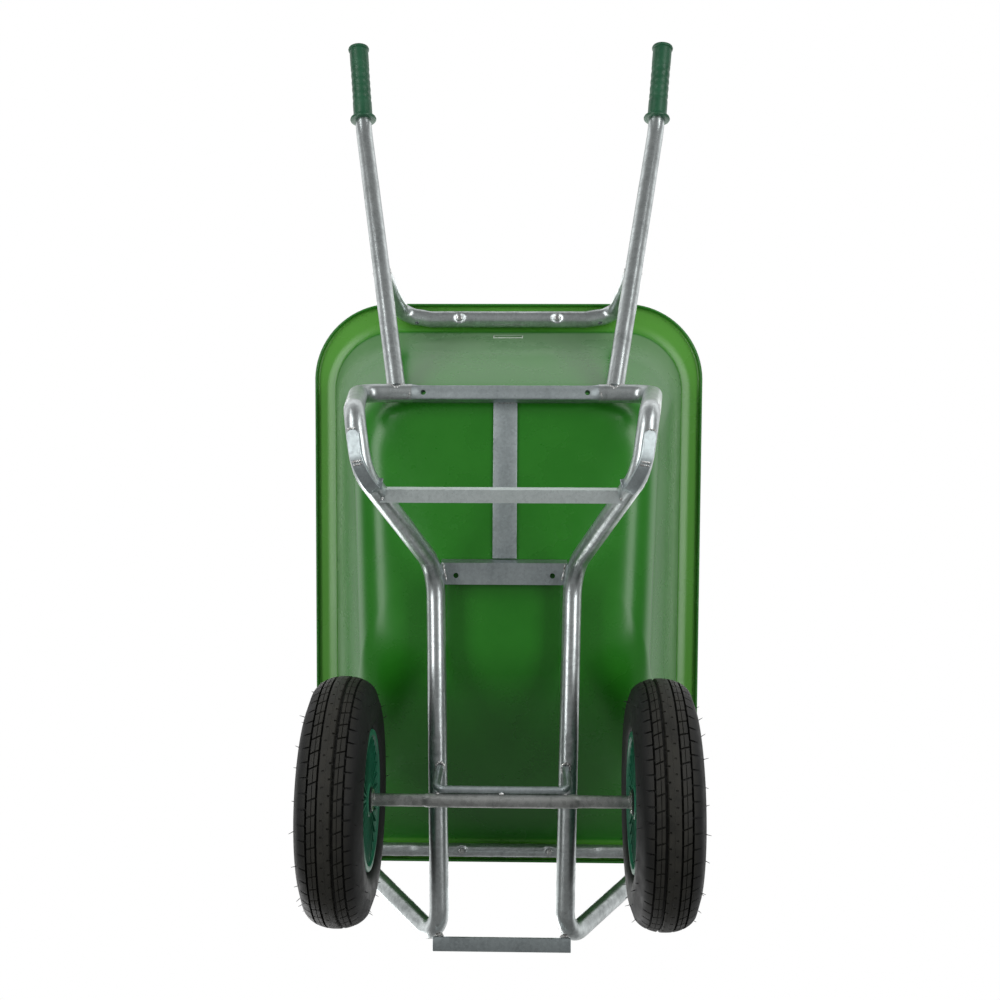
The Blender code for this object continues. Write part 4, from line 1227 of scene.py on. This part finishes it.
def add_rib(shape, centre, angle, face):
    """Radial rib from the hub to the rim ring, wider at its outer edge than at the web."""
    spoke = Vector((0.0, math.cos(angle), math.sin(angle)))
    across = Vector((0.0, -math.sin(angle), math.cos(angle)))
    corners = []
    for radius, top in ((0.0255, 0.0405), (0.0995, 0.0425)):
        for half, height in ((0.0010, 0.001), (0.0010, top - 0.0015), (0.0016, top)):
            for way in (1.0, -1.0):
                corners.append(centre + spoke * radius + across * half * way
                               + Vector((face * height, 0.0, 0.0)))
    v = [shape.verts.new(place) for place in corners]
    for quad in ((0, 1, 3, 2), (2, 3, 5, 4), (6, 8, 9, 7), (8, 10, 11, 9), (0, 2, 8, 6),
                 (2, 4, 10, 8), (1, 7, 9, 3), (3, 9, 11, 5), (4, 5, 11, 10), (0, 6, 7, 1)):
        shape.faces.new([v[i] for i in quad])


def build_rim(side, sign):
    """Plastic wheel centre: hub, dished web, radial ribs and the rim ring with its flange."""
    centre = wheel_centre(sign)
    ring = [(-0.0445, 0.1010), (-0.0455, 0.1022), (-0.0460, 0.1060), (-0.0455, 0.1098),
            (-0.0440, 0.1110), (-0.0400, 0.1110), (-0.0388, 0.1098), (-0.0380, 0.1036)]
    ring += [(-x, r) for x, r in reversed(ring)]
    ring += [(0.0380, 0.0985), (0.0060, 0.0955), (-0.0060, 0.0955), (-0.0380, 0.0985)]
    shape = turned(ring, 144, closed=True, centre=centre)
    web = turned([(-0.0030, 0.0200), (-0.0030, 0.0965), (0.0030, 0.0965), (0.0030, 0.0200)], 144,
                 closed=True, centre=centre)
    half_hub = [(-HUB_HALF, 0.0167), (-HUB_HALF, 0.0250), (-HUB_HALF + 0.0015, 0.0268),
                (-0.0030, 0.0285)]
    hub = turned(half_hub + [(-x, r) for x, r in reversed(half_hub)], 96, closed=True,
                 centre=centre)
    add_meshes(shape, web, hub)
    for face in (-1.0, 1.0):
        for k in range(RIBS):
            add_rib(shape, centre, math.tau * (k + 0.5) / RIBS, face)
    piece(side + "_rim_web", shape, RIM_GREEN, body=side + "_wheel",
          stands_for=[side + "_rim", side + "_inner_tube"], sharp=30.0)


def build_hub_parts(side, sign):
    """Bush, washer and split pin at each end of a hub; only the bush turns with the wheel."""
    centre = wheel_centre(sign)
    for end, direction in (("inner", -sign), ("outer", sign)):
        outward = Vector((direction, 0.0, 0.0))
        face = centre + outward * (HUB_HALF + GAP)
        bush = turned([(-0.030, 0.0103), (-0.030, 0.0164), (0.0, 0.0164), (0.0, 0.0200),
                       (0.0004, 0.0205), (0.0014, 0.0205), (0.0018, 0.0200), (0.0018, 0.0108),
                       (0.0014, 0.0103)], 56, closed=True, axis=outward, centre=face)
        piece(f"{side}_{end}_bush_ring", bush, NYLON, body=side + "_wheel",
              stands_for=[f"{side}_{end}_bush"])
        washer = turned([(0.0, 0.0104), (0.0, 0.0176), (0.0004, 0.0180), (0.0016, 0.0180),
                         (0.0020, 0.0176), (0.0020, 0.0104)], 56, closed=True, axis=outward,
                        centre=face + outward * (0.0018 + GAP))
        piece(f"{side}_{end}_axle_washer", washer, ZINC, stands_for=[f"{side}_{end}_washer"])
        build_split_pin(side, end, centre.x + direction * (HUB_HALF + 0.0069))


def build_split_pin(side, end, x):
    """Split pin: eye above the axle, two legs through it, bent apart below."""
    middle = at(x, 0.0, AXLE_Z)
    tilt = Quaternion(SIDEWAYS, math.radians(24.0 if end == "inner" else -38.0))
    eye = []
    for i in range(25):
        angle = math.radians(-60.0 + 300.0 * i / 24)
        eye.append(Vector((0.0, 0.0030 * math.cos(angle), 0.0160 + 0.0030 * math.sin(angle))))
    paths = [eye]
    for s in (1.0, -1.0):
        leg = [Vector((0.0, s * 0.0007, 0.0140)), Vector((0.0, s * 0.0007, -0.0118)),
               Vector((0.0, s * 0.0060, -0.0165))]
        paths.append(leg)
    placed = [[middle + tilt @ place for place in path] for path in paths]
    runs = placed[:1] + [rounded_path(leg, [0.0035], 6) for leg in placed[1:]]
    shape, *others = (sweep(run, plain_tube(0.0010), SIDEWAYS, 10) for run in runs)
    add_meshes(shape, *others)
    piece(f"{side}_{end}_cotter", shape, ZINC, stands_for=[f"{side}_{end}_split_pin"])


def build_valve(side):
    """Rubber stem and ribbed cap, on the line between the CAD's stem and cap."""
    low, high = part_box(side + "_valve_stem")
    cap_low, cap_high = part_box(side + "_valve_cap")
    top = Vector(((low.x + high.x) / 2.0, (low.y + high.y) / 2.0, high.z))
    bottom = Vector(((cap_low.x + cap_high.x) / 2.0, (cap_low.y + cap_high.y) / 2.0, cap_low.z))
    axis = (bottom - top).normalized()
    stem = turned([(0.0, 0.0040), (0.0070, 0.0039), (0.0082, 0.0027), (0.0150, 0.0026)], 24,
                  axis=axis, centre=top)
    piece(side + "_valve_stem_rubber", stem, NYLON, body=side + "_wheel",
          stands_for=[side + "_valve_stem"])
    cap = [(0.0145, 0.0030), (0.0145, 0.0036)]
    cap += [(0.0150 + 0.0007 * i, 0.0036 - (0.0003 if i % 2 else 0.0)) for i in range(15)]
    cap += [(0.0262, 0.0034), (0.0270, 0.0026)]
    piece(side + "_valve_cap_ribbed", turned(cap, 24, axis=axis, centre=top), NYLON,
          body=side + "_wheel", stands_for=[side + "_valve_cap"])


def build_wheels():
    for side, sign in SIDES.items():
        build_tyre(side, sign)
        build_vent_hairs(side, sign)
        build_rim(side, sign)
        build_hub_parts(side, sign)
        build_valve(side)


# ---------------------------------------------------------------- stage, light and camera
def build_floor():
    """Pale floor seen from above only; from below it is clear, as the view needs."""
    shape = bmesh.new()
    bmesh.ops.create_grid(shape, x_segments=8, y_segments=8, size=6.0)
    floor = as_object("floor", shape)
    floor.location = (0.0, 0.0, -0.0015)
    look = Look("floor")
    look.set(Base_Color=(0.82, 0.82, 0.82), Roughness=0.7)
    underside = look.node("NewGeometry").outputs["Backfacing"]
    mixer = look.node("MixShader", Fac=underside)
    look.feed(mixer.inputs[1], look.shader.outputs["BSDF"])
    look.feed(mixer.inputs[2], look.node("BsdfTransparent").outputs["BSDF"])
    look.feed(look.tree.nodes["Material Output"].inputs["Surface"], mixer.outputs["Shader"])
    floor.data.materials.append(look.material)
    floor.visible_shadow = False
    floor.visible_glossy = False
    floor.visible_diffuse = False


def softbox(name, place, target, width, height, level):
    """Area light of a given brightness, its height running along the barrow."""
    data = bpy.data.lights.new(name, "AREA")
    data.shape = "RECTANGLE"
    data.size = width
    data.size_y = height
    data.energy = level * math.pi * width * height
    light = new_object(name, data)
    light.visible_camera = False
    forward = (Vector(target) - Vector(place)).normalized()
    up = SIDEWAYS if abs(forward.y) > 0.9 else ALONG
    across = forward.cross(up).normalized()
    up = across.cross(forward)
    turn = Matrix((across, up, -forward)).transposed().to_4x4()
    light.matrix_world = Matrix.Translation(place) @ turn


def build_lights():
    for side, sign in SIDES.items():
        softbox("low_" + side, (sign * 1.45, 0.50, -1.20), (0.0, 0.20, 0.35), 0.70, 2.60, 4.3)
        softbox("high_" + side, (sign * 1.50, 1.75, -0.45), (0.0, 0.30, 0.45), 0.30, 1.00, 3.2)
    softbox("top", (0.0, -0.2, 3.2), (0.0, 0.0, 0.3), 3.0, 3.0, 2.2)
    softbox("top_front", (1.8, -2.6, 2.2), (0.0, 0.0, 0.3), 1.6, 1.6, 4.0)


class SkyGraph(Look):
    """The same node helpers on the world's tree."""

    def __init__(self, world):
        self.tree = world.node_tree
        self.shader = self.tree.nodes["Background"]
        self.place = self.tree.nodes.new("ShaderNodeTexCoord").outputs["Generated"]

    def soft(self, value, low, high, new_low, new_high):
        made = self.node("MapRange", {"interpolation_type": "SMOOTHSTEP"}, Value=value, From_Min=low,
                         From_Max=high, To_Min=new_low, To_Max=new_high)
        return made.outputs["Result"]


def build_world():
    """White round the horizon and above, dark below and past the nose."""
    world = bpy.data.worlds.new("studio")
    bpy.context.scene.world = world
    world.use_nodes = True
    sky = SkyGraph(world)
    split = sky.node("SeparateXYZ", Vector=sky.place)
    y, z = split.outputs["Y"], split.outputs["Z"]
    horizon = sky.soft(z, 0.0, 0.50, 0.0, 1.05)
    towards_nose = sky.soft(y, -0.75, -0.10, 0.22, 1.0)
    above = sky.soft(z, 0.35, 0.75, 0.0, 1.0)
    horizon = sky.maths("MULTIPLY", horizon, sky.soft(z, 0.52, 0.80, 1.0, 0.62))
    level = sky.maths("MULTIPLY", horizon, sky.maths("MAXIMUM", towards_nose, above))
    level = sky.maths("ADD", level, sky.soft(z, 0.70, 0.95, 0.20, -0.35))
    seen = sky.node("LightPath").outputs["Is Camera Ray"]
    grey = sky.node("CombineColor", Red=level, Green=level, Blue=level).outputs["Color"]
    sky.set(Color=sky.mix(seen, grey, (1.0, 1.0, 1.0)), Strength=1.0)


def build_camera():
    """Below the barrow, looking up past the nose with a slight lean to one side."""
    data = bpy.data.cameras.new("camera")
    data.sensor_width = 36.0
    data.lens = data.sensor_width * FOCAL_SHARE
    data.clip_start = 0.05
    camera = new_object("camera", data)
    forward = Vector((0.0227, 0.0810, 1.0)).normalized()
    up = (ALONG - forward * ALONG.dot(forward)).normalized()
    right = forward.cross(up)
    roll = math.radians(0.35)
    right, up = (right * math.cos(roll) + up * math.sin(roll),
                 up * math.cos(roll) - right * math.sin(roll))
    turn = Matrix((right, up, -forward)).transposed()
    camera.matrix_world = Matrix.Translation(at(-0.040, 0.3187, -1.800)) @ turn.to_4x4()
    bpy.context.scene.camera = camera
    bpy.context.scene.view_settings.view_transform = "Standard"


# ---------------------------------------------------------------- assembly
build_camera()
build_lights()
build_world()
build_floor()
build_tray()
build_label()
build_mould_ring()
build_frame_tubes()
build_handles()
build_rim_hoop()
build_front_tube()
build_rear_cross_bar()
build_flat_bars()
build_skids()
build_axle()
build_axle_bracket()
build_tube_welds()
build_bar_welds()
build_grips()
build_fasteners()
build_wheels()
